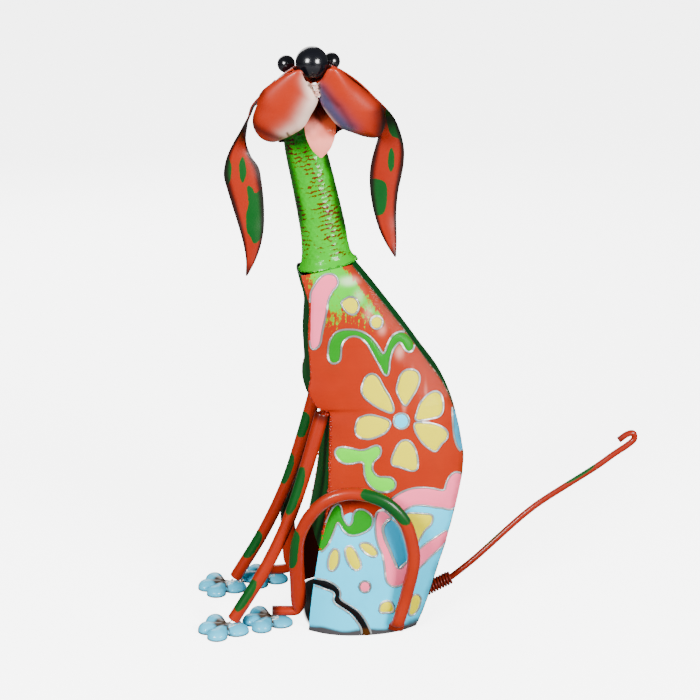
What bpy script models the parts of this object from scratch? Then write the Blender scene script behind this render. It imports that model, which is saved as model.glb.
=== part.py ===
"""A sitting garden dog, welded from bent sheet metal and steel tube.

The chest faces -X, the tail points to +X, and the head is turned toward -Y.
Left and right are the dog's own, so the left side is the -Y side.
Lengths are in metres and +Z is up.
The figure's free outlines are drawn in units, DRAWN_HEIGHT of them to the figure's height.
"""

import math

import bmesh
import bpy
from mathutils import Vector
from mathutils.bvhtree import BVHTree

# Driving sizes, in metres
FIGURE_HEIGHT = 0.550
SHEET = 0.0012
GAP = 0.0003
LEG_TUBE_DIAMETER = 0.0106
TAIL_ROD_DIAMETER = 0.0060
SPRING_WIRE = 0.0027
SPRING_BORE_CLEARANCE = 0.0010
NOSE_BALL_DIAMETER = 0.0282
EYE_BALL_DIAMETER = 0.0157
PAW_DOME_HEIGHT = 0.0092
PAW_RIM = 0.0012
LEG_STAND_OFF = 0.0040
SEAT_ROOM = 0.0034

# The drawing's scale
DRAWN_HEIGHT = 550.0
UNIT = FIGURE_HEIGHT / DRAWN_HEIGHT

# Counts
PANEL_COLUMNS = 8
PANEL_ROW_COUNTS = (7, 1, 2, 5)
STRIP_COLUMNS, STRIP_ROWS = 3, 20
NECK_SIDES, NECK_ROWS = 20, 8
HOOD_COLUMNS, HOOD_ROWS = 14, 10
JOWL_COLUMNS, JOWL_ROWS = 8, 10
EAR_COLUMNS, EAR_ROWS = 3, 14
TONGUE_COLUMNS, TONGUE_ROWS = 4, 7
TUBE_SIDES = 8
ROD_SIDES = 6
CURVE_STEPS = 16
PAW_SPOKES = 32
PAW_RINGS = (0.42, 0.68, 0.86, 1.0)
SPRING_TURNS, SPRING_STEPS, SPRING_SIDES = 9, 10, 5

# Side outline of the body: (x, z) in drawing units, from the floor up
FRONT_EDGE = [(-45.5, 0), (-41.9, 34.7), (-35.3, 78.5), (-28.8, 115.6), (-25.5, 142.3), (-24.6, 168.7),
              (-23.5, 200.5), (-23.3, 211.4), (-31.6, 213.7), (-38.0, 220.4), (-42.5, 230.9),
              (-40.4, 246.0), (-41.8, 279.0), (-40.4, 308.0), (-43.7, 323.9), (-47.4, 337.6)]
BACK_EDGE = [(57.5, 0), (67.0, 25.1), (77.9, 61.9), (84.8, 83.5), (94.3, 122.2), (101.2, 158.0),
             (99.8, 180.0), (93.4, 210.0), (82.6, 235.7), (64.8, 260.8), (42.3, 291.8), (14.7, 327.4),
             (-0.8, 346.7)]

# Half the body's width at its edges, the bulge of its panels and the crowns of its strips, by height
HALF_WIDTH = [(0, 57), (60, 56), (130, 52), (200, 43), (270, 31), (330, 25), (350, 24)]
PANEL_BULGE = [(0, 17), (100, 13.5), (200, 10), (300, 5), (350, 1.5)]
BACK_CROWN = [(0, 2.5), (200, 3), (300, 4), (347, 5)]
CHEST_CROWN = [(0, 1.5), (338, 2.5)]
BULGE_POWER = 2.4
CHEST_STRIP_FOOT = 82.0

# Neck: centre line (x, y, z), then half its breadth along X and along Y at each point
NECK_LINE = [(-23.4, 0, 361), (-25.6, 0, 379), (-33.7, 0, 419), (-41.0, 0, 452), (-45.0, -2, 480)]
NECK_HALF_BREADTHS = [(21.8, 20.5), (21.0, 19.3), (19.7, 17.0), (18.7, 15.6), (17.6, 14.6)]
NECK_COPE = 14.0
COLLAR_CENTRE_X = -20.9
COLLAR_HALF_BREADTHS = (26.8, 25.2)
COLLAR_THROAT_HALF_BREADTHS = (23.7, 21.8)
COLLAR_HEIGHT = 7.0

# Head: the plane that the jowls lie on, and the axis that the hood's ribs turn about
HEAD_AXIS = (-38.8, -36.9, 462.0)
HEAD_PITCH = math.radians(18.8)
HOOD_SWEEP = math.radians(118)
HOOD_RIDGE = [(0.0, 78.5), (0.24, 67.8), (0.55, 65.0), (0.88, 63.5), (1.0, 62.0)]
HOOD_SIDE = [(0.0, 36.0), (0.33, 32.0), (0.78, 26.0), (1.0, 38.0)]
HOOD_HALF_WIDTH_RIGHT = [(0.0, 48.5), (0.44, 45.0), (0.85, 32.0), (1.0, 26.0)]
HOOD_HALF_WIDTH_LEFT = [(0.0, 61.0), (0.44, 55.0), (0.7, 39.0), (0.85, 28.0), (1.0, 21.5)]
HOOD_PEAK_POWER = [(0.0, 1.25), (0.44, 0.95), (0.83, 1.3), (1.0, 2.6)]
NOSE_CENTRE = (-38.9, -54.0, 534.6)
SEAT_LEDGE = 6.0
EYE_PLACES = {"eye_right": -16.0, "eye_left": 16.8}
EYE_RIB = 0.26

# Jowls: (across, up) on the jowl plane, from the head's axis. The dome swells toward the face.
JOWL_RIGHT = [(-3.0, 62.0), (-13.8, 75.0), (-42.0, 54.0), (-48.6, 36.0), (-51.5, 25.5), (-50.5, 15.3),
              (-44.4, 6.0), (-35.0, 2.1), (-24.8, 5.0), (-8.1, 15.3), (-0.3, 28.6), (5.6, 45.0)]
JOWL_LEFT = [(4.2, 60.0), (16.9, 76.7), (38.0, 58.5), (58.4, 39.4), (63.4, 29.4), (65.1, 15.3),
             (59.9, 5.3), (49.6, 5.5), (38.1, 9.6), (23.1, 17.4), (9.1, 36.5), (5.8, 48.0)]
JOWL_DOME = 15.0
JOWL_NOSE_DOME = 8.5
JOWL_DOME_POWER = 2.2

# Tongue: centre line (x, y, z) and half width
TONGUE_LINE = [(-31.0, -18.5, 494, 7.0), (-30.5, -29.0, 484, 12.5), (-30.0, -34.0, 472, 13.8),
               (-29.6, -34.5, 461, 11.0), (-29.4, -33.5, 453, 6.6), (-29.4, -32.5, 447.6, 1.2)]
TONGUE_CUP = -0.19

# Ears: centre line (x, y, z), half width, and the turn of the width direction from the face plane
EAR_RIGHT = [(-89.0, -19.5, 494.0, 9.5, 88), (-93.0, -17.5, 482.0, 8.0, 84),
             (-97.5, -15, 469.0, 5.5, 60), (-101.8, -12, 452.0, 8.6, 12), (-99.8, -10, 434.0, 16.0, 4),
             (-95.5, -9, 412.0, 15.4, 0), (-92.3, -9, 392.0, 13.2, 0), (-90.6, -11, 371.0, 9.6, 4),
             (-92.5, -13, 352.0, 4.8, 8), (-96.6, -15, 336.5, 0.8, 10)]
EAR_LEFT = [(27.0, -21, 487.0, 8.0, -50), (31.2, -18, 477.5, 8.6, -28),
            (34.5, -14, 463.0, 10.6, -8), (34.2, -12, 447.0, 14.2, 0), (32.0, -10, 431.0, 15.0, 0),
            (30.4, -9, 413.0, 13.2, 0), (31.5, -9, 392.0, 10.4, 0), (34.8, -11, 372.0, 7.2, 4),
            (38.4, -13, 358.5, 3.6, 8), (40.3, -14, 350.6, 0.8, 10)]
EAR_CUP = 0.16
EAR_RIB = 0.3
EAR_ROOT_HALF_WIDTH = 9.0
EAR_ROOTS = {"ear_right": (-0.62, -0.80, -0.97), "ear_left": (0.64, 0.81, 0.97)}
EAR_ROOT_BOW = 0.08

# Front legs: (x, y, z) of the centre line, with the top's (y, z) and the foot's (x, y)
FRONT_LEG_TOP = (38.0, 209.6)
FRONT_LEG = [(-43.8, 41.5, 158.1), (-61.2, 44.5, 108.2), (-84.5, 47.5, 59.5)]
FRONT_LEG_FOOT = (-114.1, 49.5)
LEG_TOP_ROOM = 0.0001
LEG_FOOT_TILT = 0.72
FRONT_LEG_LEAN = {"front_leg_left": -2.0, "front_leg_right": 4.5}

# Hind legs: the arch in (x, z), rear end first, with its distance from the body's middle plane
HIND_ARCH = [(37.6, 77.0, 16), (44.2, 79.5, 40.8), (50.4, 83.0, 74), (48.4, 83.5, 97.5),
             (40.2, 83.5, 119.5), (22.5, 81.0, 136.6), (-3.9, 77.0, 143.7), (-27.5, 73.0, 137.4),
             (-44.6, 67.0, 119), (-54.0, 60.5, 96), (-56.0, 54.0, 73), (-54.6, 46.0, 43),
             (-53.4, 40.0, 22)]
HIND_REAR_END = (35.4, 3.6)
HIND_HEEL_LINE = [(-54.4, 37.0, 2.4), (-59.5, 35.6, 0.1), (-68.0, 34.6, 0.0), (-78.4, 34.2, 0.0)]
FAR_HIND_SHIFT = 30.0
FLAT_END = (0.0072, 0.0021)
FLAT_BAR = (0.0029, 0.0066)

# Paws: lobes (x, y, radius) from the paw's middle, toes first
PAW_TOES = [(-9.0, 16.2, 9.4), (-16.6, 0.6, 9.4), (-8.2, -14.8, 9.6)]
PAW_HEEL = (10.6, -4.2, 11.6)
PAW_HUB = (0.0, 0.0, 12.0)
HUB_SHARE = 0.83
PAW_PLACES = {"paw_front_left": (-123.8, -49.5), "paw_front_right": (-121.3, 49.5),
              "paw_hind_left": (-81.2, -35.5), "paw_hind_right": (-78.4, 66.8)}
FRONT_HEEL_SHARE = 0.9
HIND_HEEL_SHARE = 0.72

# Tail: spring's foot on the back strip, its direction, then the rod's centre line in (x, z)
TAIL_Y = -12.0
TAIL_ROOT_Z = 12.6
SPRING_RISE = math.radians(26.0)
SKEW_ROOM = 1.2
TAIL_ROD_LINE = [(99.5, 29.8), (118.5, 45.2), (136.0, 61.2), (154.3, 78.4), (171.0, 93.2),
                 (190.0, 107.2), (235.6, 136.0), (254.0, 149.2), (268.0, 158.6)]
TAIL_HOOK = [(274.0, 164.6), (272.5, 170.2), (266.5, 169.2), (258.5, 163.6)]

COLOURS = {
    "painted_panel": ((0.60, 0.11, 0.035), 0.38),
    "green_strip": ((0.022, 0.13, 0.035), 0.42),
    "lime_neck": ((0.25, 0.60, 0.05), 0.40),
    "orange": ((0.58, 0.10, 0.03), 0.36),
    "pink": ((0.85, 0.42, 0.34), 0.45),
    "black_gloss": ((0.012, 0.012, 0.015), 0.12),
    "pale_blue": ((0.36, 0.68, 0.78), 0.38),
    "red_brown": ((0.33, 0.055, 0.022), 0.40),
}
METALLIC = 0.0


def remove_all_objects():
    for item in list(bpy.data.objects):
        bpy.data.objects.remove(item, do_unlink=True)


def material(name):
    """One material for each piece, so that each can be changed by itself."""
    colour, roughness = COLOURS[name]
    made = bpy.data.materials.new(name)
    made.use_nodes = True
    shader = made.node_tree.nodes["Principled BSDF"]
    shader.inputs["Base Color"].default_value = (*colour, 1.0)
    shader.inputs["Roughness"].default_value = roughness
    shader.inputs["Metallic"].default_value = METALLIC
    return made


def drawn(x, y, z):
    """A point of the drawing, in metres."""
    return Vector((x, y, z)) * UNIT


def between(table, value):
    """Straight-line reading of a table of (place, size)."""
    if value <= table[0][0]:
        return table[0][1]
    for (a, first), (b, second) in zip(table, table[1:]):
        if value <= b:
            return first + (second - first) * (value - a) / (b - a)
    return table[-1][1]


def smooth_curve(points, count):
    """Evenly spaced points on a smooth curve through the given ones, of any dimension."""
    before = [2 * a - b for a, b in zip(points[0], points[1])]
    after = [2 * a - b for a, b in zip(points[-1], points[-2])]
    knots = [before, *points, after]
    dense = []
    steps = CURVE_STEPS
    for i in range(1, len(knots) - 2):
        p0, p1, p2, p3 = knots[i - 1:i + 3]
        for k in range(steps):
            t = k / steps
            dense.append([0.5 * (2 * b + (c - a) * t + (2 * a - 5 * b + 4 * c - d) * t * t
                                 + (3 * b - a - 3 * c + d) * t * t * t)
                          for a, b, c, d in zip(p0, p1, p2, p3)])
    dense.append(list(points[-1]))
    lengths = [0.0]
    for a, b in zip(dense, dense[1:]):
        lengths.append(lengths[-1] + math.dist(a[:3], b[:3]))
    made = []
    place = 0
    for k in range(count):
        goal = lengths[-1] * k / (count - 1)
        while place < len(lengths) - 2 and lengths[place + 1] < goal:
            place += 1
        span = lengths[place + 1] - lengths[place]
        t = (goal - lengths[place]) / span if span else 0.0
        made.append([a + (b - a) * t for a, b in zip(dense[place], dense[place + 1])])
    return made


def mesh_object(name, points, faces, finish, smooth=True):
    mesh = bpy.data.meshes.new(name)
    mesh.from_pydata([tuple(p) for p in points], [], faces)
    mesh.validate()
    mesh.update()
    made = bpy.data.objects.new(name, mesh)
    bpy.context.scene.collection.objects.link(made)
    mesh.materials.append(material(finish))
    if smooth:
        mesh.shade_smooth()
        mesh.set_sharp_from_angle(angle=math.radians(40))
    return made


def grid_faces(columns, rows, closed=False, flip=False):
    """Quads of a grid whose points run row by row."""
    per_row = columns if closed else columns + 1
    faces = []
    for row in range(rows):
        for column in range(columns):
            nxt = (column + 1) % per_row
            a = row * per_row + column
            b = row * per_row + nxt
            face = [a, b, b + per_row, a + per_row]
            faces.append(face[::-1] if flip else face)
    return faces


def sheet_object(name, rows, finish, closed=False, flip=False, thickness=None, centred=False):
    """A grid of points given a wall. The grid is the outer face, and the wall goes inward."""
    columns = len(rows[0]) if closed else len(rows[0]) - 1
    points = [p for row in rows for p in row]
    made = mesh_object(name, points, grid_faces(columns, len(rows) - 1, closed, flip), finish)
    wall = made.modifiers.new("wall", "SOLIDIFY")
    wall.thickness = SHEET if thickness is None else thickness
    wall.offset = 0.0 if centred else -1.0
    wall.use_even_offset = False
    return made


def sweep_object(name, path, radii, sides, finish):
    """A solid bar along a path that never runs along Y. radii are (in the path's plane, along Y)."""
    points = []
    for i, centre in enumerate(path):
        ahead = path[min(i + 1, len(path) - 1)] - path[max(i - 1, 0)]
        along = ahead.normalized()
        side = (Vector((0, 1, 0)) - along * along.y).normalized()
        out = side.cross(along)
        in_plane, across = radii[i]
        for k in range(sides):
            turn = 2 * math.pi * (k + 0.5) / sides
            points.append(centre + out * (in_plane * math.cos(turn)) + side * (across * math.sin(turn)))
    faces = grid_faces(sides, len(path) - 1, closed=True)
    faces.append(list(range(sides))[::-1])
    faces.append([(len(path) - 1) * sides + k for k in range(sides)])
    made = mesh_object(name, points, faces, finish)
    outward(made)
    return made


def outward(made):
    """Turns a closed mesh's faces out."""
    work = bmesh.new()
    work.from_mesh(made.data)
    bmesh.ops.recalc_face_normals(work, faces=work.faces)
    work.to_mesh(made.data)
    work.free()


def edge_x(table, height):
    return between([(z, x) for x, z in table], height)


def back_rise(share):
    """The top of the body slopes up from chest to back, so the back's rows lie a little higher."""
    return BACK_EDGE[-1][1] / FRONT_EDGE[-1][1] * share


def panel_heights():
    """Row heights at the front edge, with rows on the shoulder's corners."""
    top = FRONT_EDGE[-1][1]
    marks = [0.0, FRONT_EDGE[7][1], FRONT_EDGE[8][1], FRONT_EDGE[10][1], top]
    counts = PANEL_ROW_COUNTS
    heights = [0.0]
    for low, high, count in zip(marks, marks[1:], counts):
        heights += [low + (high - low) * (k + 1) / count for k in range(count)]
    return heights


def panel_point(share, height):
    """A point of the near panel's outer face. share runs from the front edge to the back edge."""
    back_height = back_rise(height)
    front = edge_x(FRONT_EDGE, height)
    back = edge_x(BACK_EDGE, back_height)
    swell = 1 - abs(2 * share - 1) ** BULGE_POWER
    z = height + (back_height - height) * share
    y = -(between(HALF_WIDTH, z) + between(PANEL_BULGE, z) * swell)
    return drawn(front + (back - front) * share, y, z)


def panel_depth(x, z):
    """How far the near panel's outer face stands from the body's middle plane at (x, z)."""
    front, back = edge_x(FRONT_EDGE, z), edge_x(BACK_EDGE, z)
    share = min(1.0, max(0.0, (x - front) / (back - front)))
    swell = 1 - abs(2 * share - 1) ** BULGE_POWER
    return between(HALF_WIDTH, z) + between(PANEL_BULGE, z) * swell


def body_panels():
    for name, mirror in (("body_panel_left", 1), ("body_panel_right", -1)):
        rows = []
        for height in panel_heights():
            row = []
            for column in range(PANEL_COLUMNS + 1):
                share = 0.5 - 0.5 * math.cos(math.pi * column / PANEL_COLUMNS)
                share = 0.6 * share + 0.4 * column / PANEL_COLUMNS
                point = panel_point(share, height)
                row.append(Vector((point.x, point.y * mirror, point.z)))
            rows.append(row)
        sheet_object(name, rows, "painted_panel", flip=mirror < 0)


def strip(name, edge, crown, side, low, finish):
    """A sheet between the two panels, crowned outward. side is -1 at the chest and 1 at the back."""
    heights = [z for _, z in edge if z > low]
    marks = [low, *heights]
    step = (heights[-1] - low) / STRIP_ROWS
    levels = [marks[0]]
    for a, b in zip(marks, marks[1:]):
        count = max(1, round((b - a) / step))
        levels += [a + (b - a) * (k + 1) / count for k in range(count)]
    rows = []
    for z in levels:
        half = between(HALF_WIDTH, z) * UNIT - SHEET - GAP
        row = []
        for column in range(STRIP_COLUMNS + 1):
            place = 2 * column / STRIP_COLUMNS - 1
            swell = (1 - place * place) * between(crown, z)
            row.append(Vector(((edge_x(edge, z) + side * swell) * UNIT, place * half, z * UNIT)))
        rows.append(row)
    return sheet_object(name, rows, finish, flip=side < 0)


def collar_plane_z(x):
    """Height of the body's sloping top edge at x, in drawing units."""
    (front_x, front_z), (back_x, back_z) = FRONT_EDGE[-1], BACK_EDGE[-1]
    return front_z + (x - front_x) * (back_z - front_z) / (back_x - front_x)


def neck_rings():
    """Rings of the neck's outer face, from the collar's rim up."""
    slope = math.atan(collar_plane_z(1) - collar_plane_z(0))
    rings = []
    base = Vector((COLLAR_CENTRE_X, 0, collar_plane_z(COLLAR_CENTRE_X))) * UNIT
    lift = Vector((-math.sin(slope), 0, math.cos(slope)))
    lean = Vector((math.cos(slope), 0, math.sin(slope)))
    collar = [(GAP, COLLAR_HALF_BREADTHS), (COLLAR_HEIGHT * UNIT, COLLAR_THROAT_HALF_BREADTHS)]
    for rise, (half_x, half_y) in collar:
        rings.append([base + lift * rise + lean * (half_x * UNIT * math.cos(a))
                      + Vector((0, half_y * UNIT * math.sin(a), 0)) for a in ring_angles()])
    for place in smooth_curve([(*p, *b) for p, b in zip(NECK_LINE, NECK_HALF_BREADTHS)], NECK_ROWS - 1):
        centre = drawn(*place[:3])
        rings.append([centre + lean * (place[3] * UNIT * math.cos(a))
                      + Vector((0, place[4] * UNIT * math.sin(a), 0)) for a in ring_angles()])
    return rings


def ring_angles():
    return [2 * math.pi * k / NECK_SIDES for k in range(NECK_SIDES)]


def neck(hood):
    """The neck's top is cut to the inside of the hood, as a fitter copes a tube."""
    hood.update_tag()
    bpy.context.view_layer.update()
    graph = bpy.context.evaluated_depsgraph_get()
    tree = BVHTree.FromObject(hood, graph)
    rings = neck_rings()
    top = []
    for below, point in zip(rings[-2], rings[-1]):
        along = (point - below).normalized()
        hit = tree.ray_cast(point, along)[0]
        room = (hit - point).length if hit else 0.0
        top.append(point + along * max(0.0, room - 2 * GAP - SHEET))
    lowest = min((p - q).length for p, q in zip(top, rings[-1]))
    rings.append([q + (p - q).normalized() * min((p - q).length, lowest + NECK_COPE * UNIT)
                  for p, q in zip(top, rings[-1])])
    sheet_object("neck", rings, "lime_neck", closed=True)


def hood_directions(share):
    """The rib's own up direction, in the YZ plane, and how the rib's plane turns from the face."""
    turn = -HEAD_PITCH + HOOD_SWEEP * share
    return Vector((0, math.sin(turn), math.cos(turn)))


def hood_point(across, share):
    """A point of the hood's outer face. across runs from -1, the right end of a rib, to 1."""
    up = hood_directions(share)
    half = between(HOOD_HALF_WIDTH_RIGHT if across < 0 else HOOD_HALF_WIDTH_LEFT, share)
    side, ridge = between(HOOD_SIDE, share), between(HOOD_RIDGE, share)
    rise = max(0.0, 1 - abs(across) ** (1 + between(HOOD_PEAK_POWER, share) * 0.6)) ** 0.9
    reach = side + (ridge - side) * rise
    return drawn(*HEAD_AXIS) + Vector((across * half, 0, 0)) * UNIT + up * (reach * UNIT)


def hood_normal(across, share):
    step = 0.01
    along = hood_point(across + step, share) - hood_point(across - step, share)
    back = hood_point(across, share + step) - hood_point(across, share - step)
    return along.cross(back).normalized()


def clear_of_nose(point):
    """Moves a point of a sheet straight out of the nose ball's seat."""
    centre = drawn(*NOSE_CENTRE)
    reach = NOSE_BALL_DIAMETER / 2 + SEAT_ROOM + SHEET
    away = point - centre
    return centre + away.normalized() * reach if away.length < reach else point


def under_nose(point, up):
    """Sinks a point of the hood until the nose ball sits clear above it."""
    away = point - drawn(*NOSE_CENTRE)
    reach = NOSE_BALL_DIAMETER / 2 + SEAT_ROOM
    rise = away.dot(up)
    aside = away - up * rise
    if aside.length >= reach + SEAT_LEDGE * UNIT:
        return point
    floor = -math.sqrt(max(0.0, reach * reach - aside.length_squared))
    return point if rise < floor else point + up * (floor - rise)


def head_shell():
    """Curved ribs that turn from the face, over the skull, down to the nape."""
    rows = []
    for i in range(HOOD_ROWS + 1):
        share = i / HOOD_ROWS
        back_step = Vector((0, 1, 0)) * (GAP + SHEET) if i == 0 else Vector()
        row = [under_nose(hood_point(2 * k / HOOD_COLUMNS - 1, share) + back_step, hood_directions(share))
               for k in range(HOOD_COLUMNS + 1)]
        rows.append(row)
    return sheet_object("head_shell", rows, "orange", flip=False)


def balls():
    ball("nose_ball", drawn(*NOSE_CENTRE), NOSE_BALL_DIAMETER / 2, 16, 10)
    for name, x in EYE_PLACES.items():
        half = between(HOOD_HALF_WIDTH_RIGHT if x < 0 else HOOD_HALF_WIDTH_LEFT, EYE_RIB)
        seat = hood_point(x / half, EYE_RIB)
        radius = EYE_BALL_DIAMETER / 2
        ball(name, seat + hood_normal(x / half, EYE_RIB) * (radius + GAP), radius, 12, 8)


def ball(name, centre, radius, segments, rings):
    mesh = bpy.data.meshes.new(name)
    work = bmesh.new()
    bmesh.ops.create_uvsphere(work, u_segments=segments, v_segments=rings, radius=radius)
    work.to_mesh(mesh)
    work.free()
    mesh.materials.append(material("black_gloss"))
    mesh.shade_smooth()
    made = bpy.data.objects.new(name, mesh)
    made.location = centre
    bpy.context.scene.collection.objects.link(made)


def jowl(name, outline):
    """A domed sheet. Its rings shrink from the outline to a ridge line and swell toward the face."""
    up = hood_directions(0.0)
    out = Vector((0, -math.cos(HEAD_PITCH), -math.sin(HEAD_PITCH)))
    loop = smooth_curve([*outline, outline[0]], 2 * JOWL_COLUMNS + 2 * JOWL_ROWS + 1)[:-1]
    middle = [sum(p[k] for p in loop) / len(loop) for k in (0, 1)]
    nose_up = max(p[1] for p in loop)
    rings = 5
    points, faces = [], []
    for ring in range(rings):
        share = math.cos(math.pi / 2 * ring / rings)
        swell = (1 - share ** JOWL_DOME_POWER) ** (1 / JOWL_DOME_POWER)
        for across, rise in loop:
            a = middle[0] + (across - middle[0]) * share
            b = middle[1] + (rise - middle[1]) * share
            near_nose = max(0.0, (rise - middle[1]) / (nose_up - middle[1])) ** 2
            height = JOWL_DOME * swell + JOWL_NOSE_DOME * near_nose * share * (1 - swell)
            point = drawn(*HEAD_AXIS) + Vector((a * UNIT, 0, 0)) + up * (b * UNIT) + out * (height * UNIT)
            points.append(clear_of_nose(point))
    count = len(loop)
    for ring in range(rings - 1):
        for k in range(count):
            n = (k + 1) % count
            inner, outer = ring * count, (ring + 1) * count
            faces.append([inner + k, inner + n, outer + n, outer + k])
    points.append(drawn(*HEAD_AXIS) + Vector((middle[0] * UNIT, 0, 0)) + up * (middle[1] * UNIT)
                  + out * (JOWL_DOME * UNIT))
    last = (rings - 1) * count
    for k in range(count):
        faces.append([last + k, last + (k + 1) % count, len(points) - 1])
    made = mesh_object(name, points, faces, "orange")
    face_toward(made, out)
    wall = made.modifiers.new("wall", "SOLIDIFY")
    wall.thickness = SHEET
    wall.offset = -1.0
    return made


def face_toward(made, direction):
    """Turns an open sheet's faces so that most look along a direction."""
    total = sum((p.normal.dot(direction) * p.area for p in made.data.polygons), 0.0)
    if total < 0:
        made.data.flip_normals()


def ribbon(name, stations, columns, rows, finish):
    """A leaf of sheet. A station is its centre, half width, bow, and the direction of its width."""
    lines = smooth_curve(stations, rows + 1)
    grid = []
    for i, (x, y, z, half, bow, *wide) in enumerate(lines):
        ahead = Vector(lines[min(i + 1, rows)][:3]) - Vector(lines[max(i - 1, 0)][:3])
        along = ahead.normalized()
        wide = Vector(wide)
        wide = (wide - along * wide.dot(along)).normalized()
        front = wide.cross(along)
        row = []
        for k in range(columns + 1):
            place = 2 * k / columns - 1
            rise = bow * half * (1 - place * place)
            row.append((Vector((x, y, z)) + wide * (place * half) + front * rise) * UNIT)
        grid.append(row)
    return sheet_object(name, grid, finish, centred=True)


def turned(degrees):
    """A level direction, turned from the face's plane."""
    return math.cos(math.radians(degrees)), math.sin(math.radians(degrees)), 0.0


def ear(name, stations):
    """The ear's root lies on the hood's slope, and the leaf hangs from there."""
    side = 1 if name == "ear_right" else -1
    lift = 2 * GAP + SHEET / 2
    root = []
    for across in EAR_ROOTS[name]:
        seat = (hood_point(across, EAR_RIB) + hood_normal(across, EAR_RIB) * lift) / UNIT
        back = (hood_point(across, EAR_RIB + 0.01) - hood_point(across, EAR_RIB - 0.01)).normalized() * side
        root.append((*seat, EAR_ROOT_HALF_WIDTH, EAR_ROOT_BOW, *back))
    leaf = [(x, y, z, half, -EAR_CUP, *turned(turn)) for x, y, z, half, turn in stations]
    ribbon(name, [*root, *leaf], EAR_COLUMNS, EAR_ROWS, "orange")


def tongue():
    stations = [(*place, TONGUE_CUP, *turned(0)) for place in TONGUE_LINE]
    ribbon("tongue", stations, TONGUE_COLUMNS, TONGUE_ROWS, "pink")


def front_legs():
    radius = LEG_TUBE_DIAMETER / 2
    half, top = FRONT_LEG_TOP
    foot = (PAW_DOME_HEIGHT * HUB_SHARE * FRONT_HEEL_SHARE + radius * LEG_FOOT_TILT + GAP) / UNIT
    line = [(edge_x(FRONT_EDGE, top) - (radius + LEG_TOP_ROOM) / UNIT, half, top), *FRONT_LEG,
            (*FRONT_LEG_FOOT, foot)]
    for name, side in (("front_leg_left", -1), ("front_leg_right", 1)):
        lean = FRONT_LEG_LEAN[name]
        path = [drawn(x + lean * (1 - z / top), side * y, z) for x, y, z in smooth_curve(line, 12)]
        sweep_object(name, path, [(radius, radius)] * len(path), TUBE_SIDES, "orange")


def hind_legs():
    """The arch stands off the panel, and its rear end is hammered flat against the panel."""
    radius = LEG_TUBE_DIAMETER / 2
    bar = (PAW_DOME_HEIGHT * HIND_HEEL_SHARE + FLAT_BAR[0] + GAP) / UNIT
    for name, side in (("hind_leg_left", -1), ("hind_leg_right", 1)):
        rear_x, rear_z = HIND_REAR_END
        seat = panel_depth(rear_x, rear_z) + (FLAT_END[1] + 2 * GAP) / UNIT
        arch = [(x, max(y, panel_depth(x, z) + (radius + LEG_STAND_OFF) / UNIT if x > -30 else y), z)
                for x, y, z in HIND_ARCH]
        if side > 0:
            arch = [(x, y + FAR_HIND_SHIFT * (1 - min(1.0, max(0.0, (z - 10) / 110))) * (x < 0), z)
                    for x, y, z in arch]
        heel_shift = FAR_HIND_SHIFT * (side > 0)
        heel = [(x, y + heel_shift, z + bar) for x, y, z in HIND_HEEL_LINE]
        stations = [(rear_x, seat, rear_z, *FLAT_END), (rear_x + 1.2, seat + 0.8, rear_z + 6, *FLAT_END)]
        stations += [(x, y, z, radius, radius) for x, y, z in arch]
        stations += [(*heel[0], radius * 0.75, radius * 1.05)]
        stations += [(*p, *FLAT_BAR) for p in heel[1:]]
        line = smooth_curve(stations, 34)
        path = [drawn(x, side * y, z) for x, y, z, _, _ in line]
        sweep_object(name, path, [(a, b) for *_, a, b in line], TUBE_SIDES, "orange")


def paws():
    for name, (x, y) in PAW_PLACES.items():
        paw(name, x, y, heel_share=HIND_HEEL_SHARE if "hind" in name else FRONT_HEEL_SHARE)


def paw(name, x, y, heel_share):
    """A stamped paw: three domed toes and a heel that meet at a low middle, flat underneath."""
    top = PAW_DOME_HEIGHT / UNIT
    lobes = [(*toe, top) for toe in PAW_TOES]
    lobes += [(*PAW_HEEL, top * heel_share), (*PAW_HUB, top * HUB_SHARE * heel_share)]
    rim = PAW_RIM / UNIT
    points = [Vector((x, y, lobe_height(lobes, 0, 0, rim))) * UNIT]
    for share in PAW_RINGS:
        for k in range(PAW_SPOKES):
            turn = 2 * math.pi * k / PAW_SPOKES
            reach = lobe_reach(lobes, turn) * share
            px, py = reach * math.cos(turn), reach * math.sin(turn)
            points.append(Vector((x + px, y + py, lobe_height(lobes, px, py, rim))) * UNIT)
    outer = 1 + (len(PAW_RINGS) - 1) * PAW_SPOKES
    for k in range(PAW_SPOKES):
        edge = points[outer + k]
        points.append(Vector((edge.x, edge.y, 0)))
    points.append(Vector((x * UNIT, y * UNIT, 0)))
    faces = []
    for k in range(PAW_SPOKES):
        n = (k + 1) % PAW_SPOKES
        faces.append([0, 1 + k, 1 + n])
        for ring in range(len(PAW_RINGS)):
            a = 1 + ring * PAW_SPOKES
            faces.append([a + k, a + PAW_SPOKES + k, a + PAW_SPOKES + n, a + n])
        base = 1 + len(PAW_RINGS) * PAW_SPOKES
        faces.append([base + k, len(points) - 1, base + n])
    made = mesh_object(name, points, faces, "pale_blue")
    outward(made)


def lobe_reach(lobes, turn):
    """Distance from the paw's middle to its outline in one direction."""
    reach = 0.0
    for x, y, radius, _ in lobes:
        along = x * math.cos(turn) + y * math.sin(turn)
        aside = x * math.sin(turn) - y * math.cos(turn)
        if abs(aside) < radius:
            reach = max(reach, along + math.sqrt(radius * radius - aside * aside))
    return reach


def lobe_height(lobes, px, py, rim):
    """Height of the paw's top, the highest of its domes."""
    best = rim
    for x, y, radius, height in lobes:
        share = min(1.0, math.hypot(px - x, py - y) / radius)
        best = max(best, rim + (height - rim) * math.sqrt(1 - share * share))
    return best


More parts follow.
